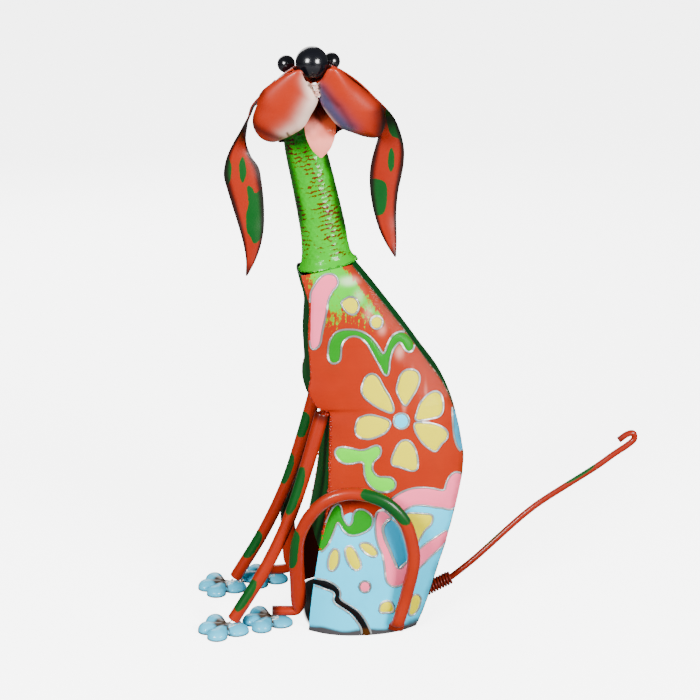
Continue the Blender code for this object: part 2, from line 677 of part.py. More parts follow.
def tail():
    """A close-wound spring on the back strip, with the rod standing in its bore."""
    along = Vector((math.cos(SPRING_RISE), 0, math.sin(SPRING_RISE)))
    out = Vector((-math.sin(SPRING_RISE), 0, math.cos(SPRING_RISE)))
    side = Vector((0, 1, 0))
    coil_radius = TAIL_ROD_DIAMETER / 2 + SPRING_BORE_CLEARANCE + SPRING_WIRE / 2
    half = between(HALF_WIDTH, TAIL_ROOT_Z)
    crown = between(BACK_CROWN, TAIL_ROOT_Z) * (1 - (TAIL_Y / half) ** 2)
    root = drawn(edge_x(BACK_EDGE, TAIL_ROOT_Z) + crown, TAIL_Y, TAIL_ROOT_Z)
    lean = edge_x(BACK_EDGE, TAIL_ROOT_Z + 1) - edge_x(BACK_EDGE, TAIL_ROOT_Z)
    skew = math.tan(SPRING_RISE + math.atan(lean))
    start = root + along * (SKEW_ROOM * GAP + SPRING_WIRE / 2 + (coil_radius + SPRING_WIRE / 2) * skew)
    pitch = SPRING_WIRE + GAP
    path = []
    for k in range(SPRING_TURNS * SPRING_STEPS + 1):
        turn = 2 * math.pi * k / SPRING_STEPS
        path.append(start + along * (pitch * k / SPRING_STEPS) + out * (coil_radius * math.cos(turn))
                    + side * (coil_radius * math.sin(turn)))
    helix_object("tail_spring", path, along, SPRING_WIRE / 2, SPRING_SIDES, "red_brown")
    tip = start + along * (pitch * SPRING_TURNS)
    foot = root + along * (SKEW_ROOM * GAP + TAIL_ROD_DIAMETER / 2 * skew)
    rod = [(p.x / UNIT, p.z / UNIT) for p in (foot, start, tip)]
    rod += TAIL_ROD_LINE + TAIL_HOOK
    path = [drawn(*p) for p in smooth_curve([(x, TAIL_Y, z) for x, z in rod], 40)]
    radii = [(TAIL_ROD_DIAMETER / 2, TAIL_ROD_DIAMETER / 2)] * len(path)
    sweep_object("tail_rod", path, radii, ROD_SIDES, "red_brown")


def helix_object(name, path, axis, radius, sides, finish):
    """Wire wound round an axis."""
    points = []
    for i, centre in enumerate(path):
        along = (path[min(i + 1, len(path) - 1)] - path[max(i - 1, 0)]).normalized()
        up = (axis - along * axis.dot(along)).normalized()
        out = along.cross(up)
        for k in range(sides):
            turn = 2 * math.pi * k / sides
            points.append(centre + up * (radius * math.cos(turn)) + out * (radius * math.sin(turn)))
    faces = grid_faces(sides, len(path) - 1, closed=True)
    faces.append(list(range(sides))[::-1])
    faces.append([(len(path) - 1) * sides + k for k in range(sides)])
    outward(mesh_object(name, points, faces, finish))


def centre_on_floor():
    """Puts the origin under the middle of the figure's box."""
    bpy.context.view_layer.update()
    graph = bpy.context.evaluated_depsgraph_get()
    corners = []
    for item in bpy.context.scene.objects:
        shown = item.evaluated_get(graph)
        corners += [item.matrix_world @ v.co for v in shown.data.vertices]
    low = Vector([min(p[k] for p in corners) for k in range(3)])
    high = Vector([max(p[k] for p in corners) for k in range(3)])
    shift = Vector(((low.x + high.x) / 2, (low.y + high.y) / 2, low.z))
    for item in bpy.context.scene.objects:
        item.location -= shift


def main():
    remove_all_objects()
    body_panels()
    strip("back_strip", BACK_EDGE, BACK_CROWN, 1, 0.0, "green_strip")
    strip("chest_strip", FRONT_EDGE, CHEST_CROWN, -1, CHEST_STRIP_FOOT, "green_strip")
    hood = head_shell()
    neck(hood)
    jowl("jowl_right", JOWL_RIGHT)
    jowl("jowl_left", JOWL_LEFT)
    balls()
    tongue()
    ear("ear_right", EAR_RIGHT)
    ear("ear_left", EAR_LEFT)
    front_legs()
    hind_legs()
    paws()
    tail()
    centre_on_floor()


main()
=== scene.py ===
"""The painted metal garden dog of the photograph, dressed over its CAD model.

Numbers in the drawing are millimetres on the real dog, with x along the body from the chest to
the tail, y across it and z up. Drawing.place turns them into the frame's metres.
"""

import logging
import math
from collections.abc import Callable, Iterable, Sequence
from dataclasses import dataclass, field
from enum import Enum

import bmesh
import bpy
import numpy as np
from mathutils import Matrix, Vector
from mathutils.bvhtree import BVHTree


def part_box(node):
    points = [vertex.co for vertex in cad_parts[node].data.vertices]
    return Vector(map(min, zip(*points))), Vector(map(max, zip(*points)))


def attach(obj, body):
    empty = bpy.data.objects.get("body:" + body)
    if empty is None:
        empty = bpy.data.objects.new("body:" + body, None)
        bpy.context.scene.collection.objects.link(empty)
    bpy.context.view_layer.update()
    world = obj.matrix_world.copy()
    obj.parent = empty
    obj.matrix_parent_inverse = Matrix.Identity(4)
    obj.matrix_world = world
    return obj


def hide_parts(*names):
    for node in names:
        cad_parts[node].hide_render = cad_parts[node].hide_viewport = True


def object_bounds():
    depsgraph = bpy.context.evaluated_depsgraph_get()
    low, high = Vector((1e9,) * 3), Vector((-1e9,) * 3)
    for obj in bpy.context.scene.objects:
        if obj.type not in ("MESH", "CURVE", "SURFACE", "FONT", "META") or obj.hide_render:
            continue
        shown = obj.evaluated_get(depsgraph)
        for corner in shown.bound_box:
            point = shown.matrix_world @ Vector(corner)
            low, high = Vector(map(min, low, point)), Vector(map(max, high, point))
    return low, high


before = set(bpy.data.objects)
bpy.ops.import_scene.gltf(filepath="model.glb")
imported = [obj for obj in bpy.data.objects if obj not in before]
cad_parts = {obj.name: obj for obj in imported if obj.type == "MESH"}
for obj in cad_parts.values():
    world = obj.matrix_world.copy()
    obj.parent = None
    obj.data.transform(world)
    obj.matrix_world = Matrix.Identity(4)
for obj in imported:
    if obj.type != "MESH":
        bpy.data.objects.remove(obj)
CAD_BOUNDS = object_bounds()

LOG = logging.getLogger("dog")
SEED = 7
FAR = 99.0
SHEET = 1.2
GAP = 0.3
WAVES = 7
Array = np.ndarray
Triple = tuple[float, float, float]
Pair = tuple[float, float]
Table = Sequence[Pair]
Rows = Sequence[Sequence[float]]
Layers = dict[str, Array]
Socket = bpy.types.NodeSocket
Runs = Sequence[tuple[Array, bool]]


class Enamel(Enum):
    """The brush colours of the painted motifs, in the order that they are laid."""

    PALE_BLUE = "pale_blue"
    TEAL = "teal"
    DARK_GREEN = "dark_green"
    LIGHT_GREEN = "light_green"
    PINK = "pink"
    YELLOW = "yellow"
    BLACK = "black"


class Slot(Enum):
    """The material slots' names."""

    PANEL = "painted_panel"
    STRIP = "green_strip"
    NECK = "lime_neck"
    ORANGE = "orange"
    PINK = "pink"
    BLACK = "black_gloss"
    BLUE = "pale_blue"
    RED_BROWN = "red_brown"


def srgb(red: float, green: float, blue: float) -> Triple:
    """Scene-linear colour of an 8-bit screen colour."""
    channels = [c / 255 for c in (red, green, blue)]
    return tuple(c / 12.92 if c <= 0.04045 else ((c + 0.055) / 1.055) ** 2.4 for c in channels)


def smoothstep(low: float, high: float, value: Array) -> Array:
    """Soft step from 0 at low to 1 at high."""
    share = np.clip((value - low) / (high - low), 0.0, 1.0)
    return share * share * (3 - 2 * share)


def spline(a: Array, b: Array, c: Array, d: Array, step: object) -> Array:
    """The smooth curve from b to c at a share of the way, with a and d beyond them."""
    return 0.5 * (2 * b + (c - a) * step + (2 * a - 5 * b + 4 * c - d) * step**2
                  + (3 * b - a - 3 * c + d) * step**3)


def run_length(points: Array) -> Array:
    """How far along its line each point lies."""
    return np.concatenate([[0.0], np.cumsum(np.linalg.norm(np.diff(points, axis=0), axis=1))])


def smooth_curve(points: Rows, count: int, closed: bool = False) -> Array:
    """Evenly spaced points on a smooth curve through the given ones.

    Args:
        points: rows of any width, of which the first three are the place.
        count: how many points to return.
        closed: whether the curve returns to its start, which is then not repeated.

    Returns:
        An array of count rows.
    """
    knots = np.array(points, float)
    if closed:
        knots = np.vstack([knots[-1:], knots, knots[:2]])
    else:
        knots = np.vstack([2 * knots[:1] - knots[1:2], knots, 2 * knots[-1:] - knots[-2:-1]])
    steps = np.linspace(0, 1, 24, endpoint=False)[:, None]
    runs = [spline(*four, steps) for four in zip(knots, knots[1:], knots[2:], knots[3:])]
    dense = np.vstack([*runs, knots[-2:-1]])
    length = run_length(dense[:, :3])
    goals = np.linspace(0, length[-1], count, endpoint=not closed)
    return np.stack([np.interp(goals, length, column) for column in dense.T], axis=1)


def smooth_loop(outline: Sequence[Pair], count: int) -> Array:
    """Evenly spaced flat points on a smooth closed outline."""
    return smooth_curve([(*point, 0.0) for point in outline], count, closed=True)[:, :2]


def finer_rows(rows: Array, steps: int) -> Array:
    """Smooth rows between the given ones, which it passes through."""
    knots = np.concatenate([2 * rows[:1] - rows[1:2], rows, 2 * rows[-1:] - rows[-2:-1]])
    made = [spline(*four, t) for four in zip(knots, knots[1:], knots[2:], knots[3:])
            for t in np.arange(steps) / steps]
    return np.array([*made, rows[-1]])


def reader(table: Table) -> Callable[[Array], Array]:
    """Straight-line reading of a table of (place, size)."""
    places, sizes = np.array(table, float).T
    return lambda value: np.interp(value, places, sizes)


class Drawing:
    """Turns the drawing's millimetres into the frame's metres."""

    NOSE = np.array((-38.9, -54.0, 534.6))

    def __init__(self) -> None:
        """Finds the drawing's origin from the CAD nose ball, which both share."""
        low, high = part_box("nose_ball")
        self.origin = (np.array(low) + np.array(high)) / 2 - self.NOSE / 1000

    def place(self, points: Array) -> Array:
        """Frame metres of drawing millimetres."""
        return np.asarray(points, float) / 1000 + self.origin


DRAWING = Drawing()


def unit(vectors: Array) -> Array:
    """Vectors scaled to length one."""
    return vectors / np.maximum(np.linalg.norm(vectors, axis=-1, keepdims=True), 1e-9)


def grid_quads(rows: int, columns: int, closed: bool = False) -> Array:
    """Quads of a grid whose points run row by row."""
    per_row = columns if closed else columns + 1
    row, column = np.meshgrid(np.arange(rows), np.arange(columns), indexing="ij")
    here = row * per_row + column
    beside = row * per_row + (column + 1) % per_row
    return np.stack([here, beside, beside + per_row, here + per_row], -1).reshape(-1, 4)


def capped(rows: int, sides: int) -> list[list[int]]:
    """Faces of rings that two more points close, the first ring's and then the last one's."""
    faces = grid_quads(rows - 1, sides, closed=True).tolist()
    last = (rows - 1) * sides
    for k in range(sides):
        n = (k + 1) % sides
        faces += [[k, n, last + sides], [last + k, last + n, last + sides + 1]]
    return faces


def grid_normals(grid: Array, closed: bool = False) -> Array:
    """Unit normals of a grid of points, rows first."""
    along = np.gradient(grid, axis=0)
    if closed:
        across = np.roll(grid, -1, axis=1) - np.roll(grid, 1, axis=1)
    else:
        across = np.gradient(grid, axis=1)
    return unit(np.cross(across, along))


def waves(points: Array, scale: float, seed: int) -> Array:
    """Smooth uneven values from -1 to 1 over points, as hand-beaten metal has.

    Args:
        points: rows of places in millimetres.
        scale: the usual distance between two highs, in millimetres.
        seed: fixed seed.

    Returns:
        One value for each point.
    """
    rng = np.random.default_rng(seed)
    flat = points.reshape(-1, points.shape[-1])
    total = np.zeros(len(flat))
    for _ in range(WAVES):
        direction = unit(rng.normal(size=points.shape[-1]))
        pace = 2 * math.pi / (scale * rng.uniform(0.7, 1.6))
        total += np.sin(flat @ direction * pace + rng.uniform(0, 2 * math.pi))
    return (total / math.sqrt(WAVES * 2)).reshape(points.shape[:-1])


def patches(x: Array, z: Array, rows: Rows) -> Array:
    """The strongest of some soft patches at (x, z).

    Args:
        x: places across.
        z: places up.
        rows: each patch's middle x and z, its reach in x and z, and its strength.

    Returns:
        One value for each place.
    """
    value = np.zeros_like(z)
    for middle_x, middle_z, wide, tall, most in rows:
        value = np.maximum(value, most * np.exp(-((x - middle_x) / wide) ** 2 - ((z - middle_z) / tall) ** 2))
    return value


def loop_distance(points: Array, loop: Array, reach: float = 14.0) -> Array:
    """Signed distance from flat points to a closed outline, negative inside.

    Args:
        points: rows of (across, up).
        loop: the outline's points in order.
        reach: beyond this distance the answer is only FAR.

    Returns:
        One distance for each point.
    """
    answer = np.full(len(points), FAR)
    low, high = loop.min(0) - reach, loop.max(0) + reach
    near = np.flatnonzero(np.all((points > low) & (points < high), axis=1))
    if not len(near):
        return answer
    places = points[near]
    best = np.full(len(near), FAR)
    inside = np.zeros(len(near), bool)
    for a, b in zip(loop, np.roll(loop, -1, axis=0)):
        edge = b - a
        share = np.clip((places - a) @ edge / max(edge @ edge, 1e-9), 0, 1)
        best = np.minimum(best, np.linalg.norm(places - a - share[:, None] * edge, axis=1))
        if a[1] != b[1]:
            crosses = (a[1] > places[:, 1]) != (b[1] > places[:, 1])
            inside ^= crosses & (places[:, 0] < a[0] + edge[0] * (places[:, 1] - a[1]) / edge[1])
    answer[near] = np.where(inside, -best, best)
    return answer


def bar_frame(path: Array, toward: Sequence[float], sides: int) -> tuple[Array, Array, Array, Array]:
    """The directions along a bar, across it and toward its side, and the turns of its ring of points."""
    along = unit(np.gradient(path, axis=0))
    want = np.array(toward, float)
    side = unit(want - along * (along @ want)[:, None])
    return along, np.cross(side, along), side, 2 * np.pi * (np.arange(sides) + 0.5) / sides


class Pieces:
    """Makes the scene's pieces, dresses them and reports them."""

    @staticmethod
    def mesh(name: str, points: Array, faces: Iterable[Sequence[int]], layers: Layers,
             angle: float = 35.0, metres: bool = False) -> bpy.types.Object:
        """A closed mesh piece at the origin, inside the CAD box, with its faces turned out.

        Args:
            name: the piece's name.
            points: its points in drawing millimetres, or in frame metres.
            faces: point numbers of each face.
            layers: values to keep on the points.
            angle: edges sharper than this stay sharp.
            metres: whether the points are already in the frame.

        Returns:
            The new object.
        """
        made = bpy.data.meshes.new(name)
        placed = np.clip(points if metres else DRAWING.place(points), *CAD_BOUNDS)
        made.from_pydata(placed.tolist(), [], [list(map(int, face)) for face in faces])
        for key, values in layers.items():
            kept = made.attributes.new(key, "FLOAT", "POINT")
            kept.data.foreach_set("value", np.asarray(values, np.float32))
        work = bmesh.new()
        work.from_mesh(made)
        bmesh.ops.remove_doubles(work, verts=work.verts, dist=1e-6)
        bmesh.ops.recalc_face_normals(work, faces=work.faces)
        work.to_mesh(made)
        work.free()
        made.shade_smooth()
        made.set_sharp_from_angle(angle=math.radians(angle))
        piece = bpy.data.objects.new(name, made)
        bpy.context.scene.collection.objects.link(piece)
        return piece

    @staticmethod
    def dress(piece: bpy.types.Object, finish: "Finish", slot: Slot, *nodes: str) -> bpy.types.Object:
        """Gives a piece its finish and its place in the frame, and reports it."""
        piece.data.materials.clear()
        piece.data.materials.append(finish.material())
        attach(piece, "root")
        if nodes:
            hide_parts(*nodes)
        LOG.info("%s: %d faces, replaces %s", piece.name, len(piece.data.polygons), list(nodes))
        return piece

    @classmethod
    def sheet(cls, name: str, outer: Array, layers: Layers, closed: bool = False,
              flip: bool = False) -> bpy.types.Object:
        """A walled sheet under a grid of outer points.

        Args:
            name: the piece's name.
            outer: the outer face, rows by columns by 3, in drawing millimetres.
            layers: values of the outer points, rows by columns.
            closed: whether each row is a ring.
            flip: whether the grid's normals point in, not out.

        Returns:
            The new object. Its layer named inside is 1 on the inner face.
        """
        rows, columns = outer.shape[:2]
        inner = outer - grid_normals(outer, closed) * (-SHEET if flip else SHEET)
        count = rows * columns
        quads = grid_quads(rows - 1, columns if closed else columns - 1, closed)
        numbers = np.arange(count).reshape(rows, columns)
        if closed:
            borders = [np.append(numbers[0], numbers[0, 0]), np.append(numbers[-1], numbers[-1, 0])]
        else:
            borders = [np.concatenate([numbers[0], numbers[1:, -1], numbers[-1, -2::-1],
                                       numbers[-2::-1, 0]])]
        rims = [np.stack([b[:-1], b[1:], b[1:] + count, b[:-1] + count], 1) for b in borders]
        kept = {key: np.tile(np.asarray(values, float).reshape(-1), 2) for key, values in layers.items()}
        kept["inside"] = np.repeat([0.0, 1.0], count)
        points = np.vstack([outer.reshape(-1, 3), inner.reshape(-1, 3)])
        return cls.mesh(name, points, np.vstack([quads, quads[:, ::-1] + count, *rims]), kept)

    @classmethod
    def bar(cls, name: str, path: Array, radii: Array, sides: int, layers: Layers,
            toward: Sequence[float] = (0, 1, 0), blunt: float = 0.7) -> bpy.types.Object:
        """A round or flattened bar along a path, with eased ends.

        Args:
            name: the piece's name.
            path: the centre line in drawing millimetres.
            radii: for each point, the radius across toward and the radius along it.
            sides: how many sides the bar has.
            layers: values of the points, path by sides.
            toward: a direction that the path never runs along.
            blunt: how far the end's edge is eased, in millimetres.

        Returns:
            The new object.
        """
        along, out, side, turn = bar_frame(path, toward, sides)
        rings = (path[:, None] + out[:, None] * (radii[:, :1, None] * np.cos(turn)[None, :, None])
                 + side[:, None] * (radii[:, 1:, None] * np.sin(turn)[None, :, None]))
        first, last = [], []
        for share in (0.93, 0.78, 0.5):
            first.append(path[0] + (rings[0] - path[0]) * share)
            last.append(path[-1] + (rings[-1] - path[-1]) * share)
        rings[0] += along[0] * blunt
        rings[-1] -= along[-1] * blunt
        rings = np.concatenate([np.array(first[::-1]), rings, np.array(last)])
        points = np.vstack([rings.reshape(-1, 3), path[:1], path[-1:]])
        kept = {}
        for key, values in layers.items():
            grid = np.concatenate([values[:1]] * 3 + [values] + [values[-1:]] * 3)
            kept[key] = np.concatenate([grid.reshape(-1), grid[0, :1], grid[-1, :1]])
        return cls.mesh(name, points, capped(len(rings), sides), kept, angle=50.0)


class Graph:
    """Short ways to add nodes to a shader tree."""

    def __init__(self, tree: bpy.types.NodeTree) -> None:
        """Keeps the tree that the nodes go into."""
        self.tree = tree

    def node(self, kind: str, **settings: object) -> bpy.types.Node:
        """Adds a node and sets its options."""
        made = self.tree.nodes.new(kind)
        for key, value in settings.items():
            setattr(made, key, value)
        return made

    def feed(self, socket: Socket, value: object) -> None:
        """Links a socket, or sets its constant."""
        if isinstance(value, Socket):
            self.tree.links.new(value, socket)
        elif isinstance(value, tuple) and len(value) == 3 and socket.type == "RGBA":
            socket.default_value = (*value, 1.0)
        else:
            socket.default_value = value

    def object_place(self) -> Socket:
        """The object coordinates."""
        return self.node("ShaderNodeTexCoord").outputs["Object"]

    def layer(self, name: str) -> Socket:
        """A value kept on the mesh's points."""
        return self.node("ShaderNodeAttribute", attribute_name=name).outputs["Fac"]

    def math(self, operation: str, first: object, second: object = 0.0) -> Socket:
        """One sum on values."""
        made = self.node("ShaderNodeMath", operation=operation)
        self.feed(made.inputs[0], first)
        self.feed(made.inputs[1], second)
        return made.outputs[0]

    def plus(self, first: object, second: object) -> Socket:
        """The sum of two values."""
        return self.math("ADD", first, second)

    def times(self, first: object, second: object) -> Socket:
        """The product of two values."""
        return self.math("MULTIPLY", first, second)

    def step(self, value: object, low: object, high: object) -> Socket:
        """Soft step from 0 at low to 1 at high."""
        made = self.node("ShaderNodeMapRange", interpolation_type="SMOOTHSTEP")
        for key, item in (("Value", value), ("From Min", low), ("From Max", high)):
            self.feed(made.inputs[key], item)
        return made.outputs["Result"]

    def noise(self, scale: object, detail: float = 3.0, stretch: Triple | None = None,
              rough: float = 0.55) -> Socket:
        """Noise about 0.5 over the object coordinates, which may be stretched."""
        place = self.object_place()
        if stretch:
            mapping = self.node("ShaderNodeMapping")
            self.feed(mapping.inputs["Vector"], place)
            self.feed(mapping.inputs["Scale"], stretch)
            place = mapping.outputs["Vector"]
        made = self.node("ShaderNodeTexNoise")
        self.feed(made.inputs["Vector"], place)
        self.feed(made.inputs["Scale"], scale)
        self.feed(made.inputs["Detail"], detail)
        self.feed(made.inputs["Roughness"], rough)
        return made.outputs["Fac"]

    def swing(self, value: object, amount: object) -> Socket:
        """A noise's value as a swing of that amount about 0."""
        return self.times(self.math("SUBTRACT", value, 0.5), amount)

    def mix(self, share: object, first: object, second: object) -> Socket:
        """A colour between two."""
        made = self.node("ShaderNodeMix", data_type="RGBA")
        self.feed(made.inputs[0], share)
        self.feed(made.inputs[6], first)
        self.feed(made.inputs[7], second)
        return made.outputs[2]

    def use(self, group: bpy.types.NodeTree, **inputs: object) -> Socket:
        """Adds a shared group and returns its one output."""
        made = self.node("ShaderNodeGroup", node_tree=group)
        for key, value in inputs.items():
            self.feed(made.inputs[key.replace("_", " ")], value)
        return made.outputs[0]


class SharedEffects:
    """The shader groups that several finishes use."""

    _made: dict[str, bpy.types.NodeTree] = {}

    @classmethod
    def _group(cls, name: str, inputs: dict[str, object], output: tuple[str, str],
               fill: Callable[[Graph, dict[str, Socket]], Socket]) -> bpy.types.NodeTree:
        """Builds a group once: named inputs, one named output, and fill to join them."""
        if name not in cls._made:
            tree = bpy.data.node_groups.new(name, "ShaderNodeTree")
            for key, default in inputs.items():
                kind = "NodeSocketColor" if isinstance(default, tuple) else "NodeSocketFloat"
                socket = tree.interface.new_socket(key, in_out="INPUT", socket_type=kind)
                socket.default_value = (*default, 1.0) if isinstance(default, tuple) else default
            tree.interface.new_socket(output[0], in_out="OUTPUT", socket_type=output[1])
            graph = Graph(tree)
            into = graph.node("NodeGroupInput").outputs
            result = fill(graph, {key: into[key] for key in inputs})
            tree.links.new(result, graph.node("NodeGroupOutput").inputs[0])
            cls._made[name] = tree
        return cls._made[name]

    @classmethod
    def brush_edge(cls) -> bpy.types.NodeTree:
        """A painted shape's mask: 1 inside, with a hand-brushed edge."""
        def fill(graph: Graph, sockets: dict[str, Socket]) -> Socket:
            shake = graph.swing(graph.noise(sockets["Scale"]), sockets["Wobble"])
            value = graph.plus(sockets["Distance"], shake)
            return graph.step(value, sockets["Softness"], graph.times(sockets["Softness"], -1.0))
        return cls._group("Brush edge", {"Distance": 0.0, "Scale": 160.0, "Wobble": 1.0, "Softness": 0.25},
                          ("Mask", "NodeSocketFloat"), fill)

    @classmethod
    def enamel_tone(cls) -> bpy.types.NodeTree:
        """Brushed enamel's uneven tone: thin and thick coats, and faint strokes."""
        def fill(graph: Graph, sockets: dict[str, Socket]) -> Socket:
            coat = graph.step(graph.noise(14.0, 4.0), 0.35, 0.7)
            stroke = graph.noise(60.0, 3.0, stretch=(1.0, 1.0, 6.0))
            blend = graph.plus(graph.times(coat, 0.7), graph.times(stroke, 0.3))
            return graph.mix(graph.times(blend, sockets["Amount"]), sockets["Color"],
                             sockets["Deep Color"])
        sockets = {"Color": (0.8, 0.8, 0.8), "Deep Color": (0.3, 0.3, 0.3), "Amount": 0.5}
        return cls._group("Enamel tone", sockets, ("Color", "NodeSocketColor"), fill)

    @classmethod
    def lacquer_skin(cls) -> bpy.types.NodeTree:
        """The fine unevenness of brushed enamel, as a normal."""
        def fill(graph: Graph, sockets: dict[str, Socket]) -> Socket:
            bump = graph.node("ShaderNodeBump")
            height = graph.plus(graph.noise(sockets["Scale"], 2.0),
                                graph.times(graph.noise(900.0, 2.0), 0.25))
            graph.feed(bump.inputs["Height"], height)
            graph.feed(bump.inputs["Strength"], sockets["Strength"])
            graph.feed(bump.inputs["Distance"], 0.0006)
            return bump.outputs["Normal"]
        return cls._group("Lacquer skin", {"Scale": 170.0, "Strength": 0.25},
                          ("Normal", "NodeSocketVector"), fill)

    @classmethod
    def airbrush(cls) -> bpy.types.NodeTree:
        """A sprayed layer's mask, broken up a little where it is thin."""
        def fill(graph: Graph, sockets: dict[str, Socket]) -> Socket:
            speckle = graph.swing(graph.noise(45.0, 5.0), sockets["Break"])
            return graph.step(graph.plus(sockets["Amount"], speckle), 0.0, 1.0)
        return cls._group("Airbrush", {"Amount": 0.0, "Break": 0.5}, ("Mask", "NodeSocketFloat"), fill)


ORANGE = srgb(152, 37, 9)
ORANGE_DEEP = srgb(128, 23, 6)
RED_BROWN = srgb(84, 14, 5)
DARK_AIRBRUSH_AND_SHADE = srgb(12, 5, 3)
LEAF_GREEN = srgb(11, 72, 22)
MOTIF_COLOURS = {Enamel.PINK: srgb(246, 104, 138), Enamel.YELLOW: srgb(214, 202, 0),
                 Enamel.DARK_GREEN: srgb(8, 128, 16), Enamel.LIGHT_GREEN: srgb(78, 212, 8),
                 Enamel.PALE_BLUE: srgb(28, 206, 246), Enamel.TEAL: srgb(15, 146, 184),
                 Enamel.BLACK: srgb(10, 9, 12)}


@dataclass(frozen=True)
class Finish:
    """A painted finish. Subclasses say what colour lies where.

    Attributes:
        name: the material's name.
        roughness: of the paint.
        coat: how much clear gloss lies over it.
        skin: the strength of the brushed unevenness.
        metallic: how much of it is metal.
        specular: how strongly the paint itself reflects.
    """

    name: str
    roughness: float = 0.34
    coat: float = 0.16
    skin: float = 0.12
    metallic: float = 0.0
    specular: float = 0.16

    def material(self) -> bpy.types.Material:
        """The material, made once."""
        found = bpy.data.materials.get(self.name)
        if found:
            return found
        made = bpy.data.materials.new(self.name)
        made.use_nodes = True
        graph = Graph(made.node_tree)
        shader = made.node_tree.nodes["Principled BSDF"]
        graph.feed(shader.inputs["Base Color"], self.colour(graph))
        worn = graph.swing(graph.noise(38.0, 4.0), 0.22)
        graph.feed(shader.inputs["Roughness"], graph.plus(worn, self.roughness))
        graph.feed(shader.inputs["Coat Weight"], self.coat)
        graph.feed(shader.inputs["Coat Roughness"], 0.06)
        graph.feed(shader.inputs["Specular IOR Level"], self.specular)
        graph.feed(shader.inputs["Metallic"], self.metallic)
        skin = graph.use(SharedEffects.lacquer_skin(), Strength=self.skin)
        graph.feed(shader.inputs["Normal"], skin)
        graph.feed(shader.inputs["Coat Normal"], skin)
        return made

    def colour(self, graph: Graph) -> Socket:
        """The paint's colour over the piece."""
        raise NotImplementedError

    @staticmethod
    def enamel(graph: Graph, light: object, deep: object, amount: float = 0.5) -> Socket:
        """Uneven enamel between two tones."""
        return graph.use(SharedEffects.enamel_tone(), Color=light, Deep_Color=deep, Amount=amount)

    @staticmethod
    def under(graph: Graph, colour: Socket, layer: str, tone: Triple,
              most: float = 1.0, broken: float = 0.5) -> Socket:
        """A colour with one sprayed layer over it, which is paint in some uses and painted light or shade in
        others.
        """
        mask = graph.use(SharedEffects.airbrush(), Amount=graph.layer(layer), Break=broken)
        return graph.mix(graph.times(mask, most), colour, tone)

    @staticmethod
    def shape(graph: Graph, colour: Socket, layer: str, tone: object, wobble: float) -> Socket:
        """A colour with one brushed shape over it."""
        mask = graph.use(SharedEffects.brush_edge(), Distance=graph.layer(layer), Wobble=wobble)
        return graph.mix(mask, colour, tone)

    @staticmethod
    def inner(graph: Graph, colour: Socket, tone: Triple) -> Socket:
        """A colour with the tone of the inner face in its place inside."""
        return graph.mix(graph.step(graph.layer("inside"), 0.4, 0.6), colour, tone)


@dataclass(frozen=True)
class Plain(Finish):
    """Brushed enamel of one colour in two tones."""

    light: Triple = ORANGE
    deep: Triple = ORANGE_DEEP

    def colour(self, graph: Graph) -> Socket:
        """Two tones."""
        return self.enamel(graph, self.light, self.deep, 0.7)


@dataclass(frozen=True)
class Spotted(Finish):
    """Orange enamel with brushed green spots, darkened toward the edges: dark airbrush in places, painted
    shade in others.
    """

    light: Triple = ORANGE
    deep: Triple = ORANGE_DEEP
    spot: Triple = LEAF_GREEN
    wobble: float = 1.6

    def colour(self, graph: Graph) -> Socket:
        """Orange, spots, then the dark airbrush and the painted shade."""
        base = self.enamel(graph, self.light, self.deep, 0.6)
        green = self.enamel(graph, self.spot, srgb(8, 50, 13), 0.5)
        base = self.shape(graph, base, "spot", green, self.wobble)
        return self.under(graph, base, "airbrush_and_shade", DARK_AIRBRUSH_AND_SHADE, 0.96, 0.3)


@dataclass(frozen=True)
class MotifPanel(Finish):
    """The painted panel: ground, dry-brushed lime, painted glare, motifs, and dark brown at the bottom and
    back edges.
    """

    def colour(self, graph: Graph) -> Socket:
        """Each paint in the order that the painter laid it, and the painted glare of the lights over the
        ground.
        """
        base = self.enamel(graph, srgb(156, 40, 10), srgb(136, 28, 7), 0.7)
        bristle = graph.noise(250.0, 5.0, stretch=(1.6, 1.0, 0.7), rough=0.75)
        dry = graph.step(graph.plus(graph.layer("dry"), graph.swing(bristle, 2.0)), 0.4, 0.62)
        lime = self.enamel(graph, srgb(60, 196, 12), srgb(34, 152, 8), 0.6)
        base = graph.mix(dry, base, lime)
        # Painted highlight: whitish glare where the lights shine on the near panel, pinkish on the orange and
        # pale green on the lime.
        sheen = graph.mix(dry, srgb(240, 170, 150), srgb(214, 240, 190))
        base = self.under(graph, base, "glare", sheen, 0.75, 0.2)
        for enamel in Enamel:
            light = MOTIF_COLOURS[enamel]
            deep = tuple(c * 0.78 for c in light)
            base = self.shape(graph, base, enamel.value, self.enamel(graph, light, deep, 0.35), 0.5)
        base = self.under(graph, base, "airbrush_and_shade", srgb(62, 32, 6), 0.95, 0.9)
        return self.inner(graph, base, srgb(44, 9, 4))


@dataclass(frozen=True)
class HammeredLime(Finish):
    """Lime enamel rubbed off the hammer marks, with red-brown showing."""

    def colour(self, graph: Graph) -> Socket:
        """Lime, worn ridges, and painted shade down the sides."""
        base = self.enamel(graph, srgb(36, 174, 0), srgb(20, 132, 0), 0.7)
        crumb = graph.noise(230.0, 4.0, stretch=(1.0, 1.0, 1.25), rough=0.7)
        bare = graph.step(graph.plus(graph.layer("worn"), graph.swing(crumb, 1.35)), 0.5, 0.58)
        base = graph.mix(bare, base, srgb(84, 19, 6))
        # Painted shade: the near-black green of the tube's sides.
        base = self.under(graph, base, "airbrush_and_shade", srgb(8, 12, 4), 0.93, 0.9)
        return self.inner(graph, base, srgb(40, 8, 4))


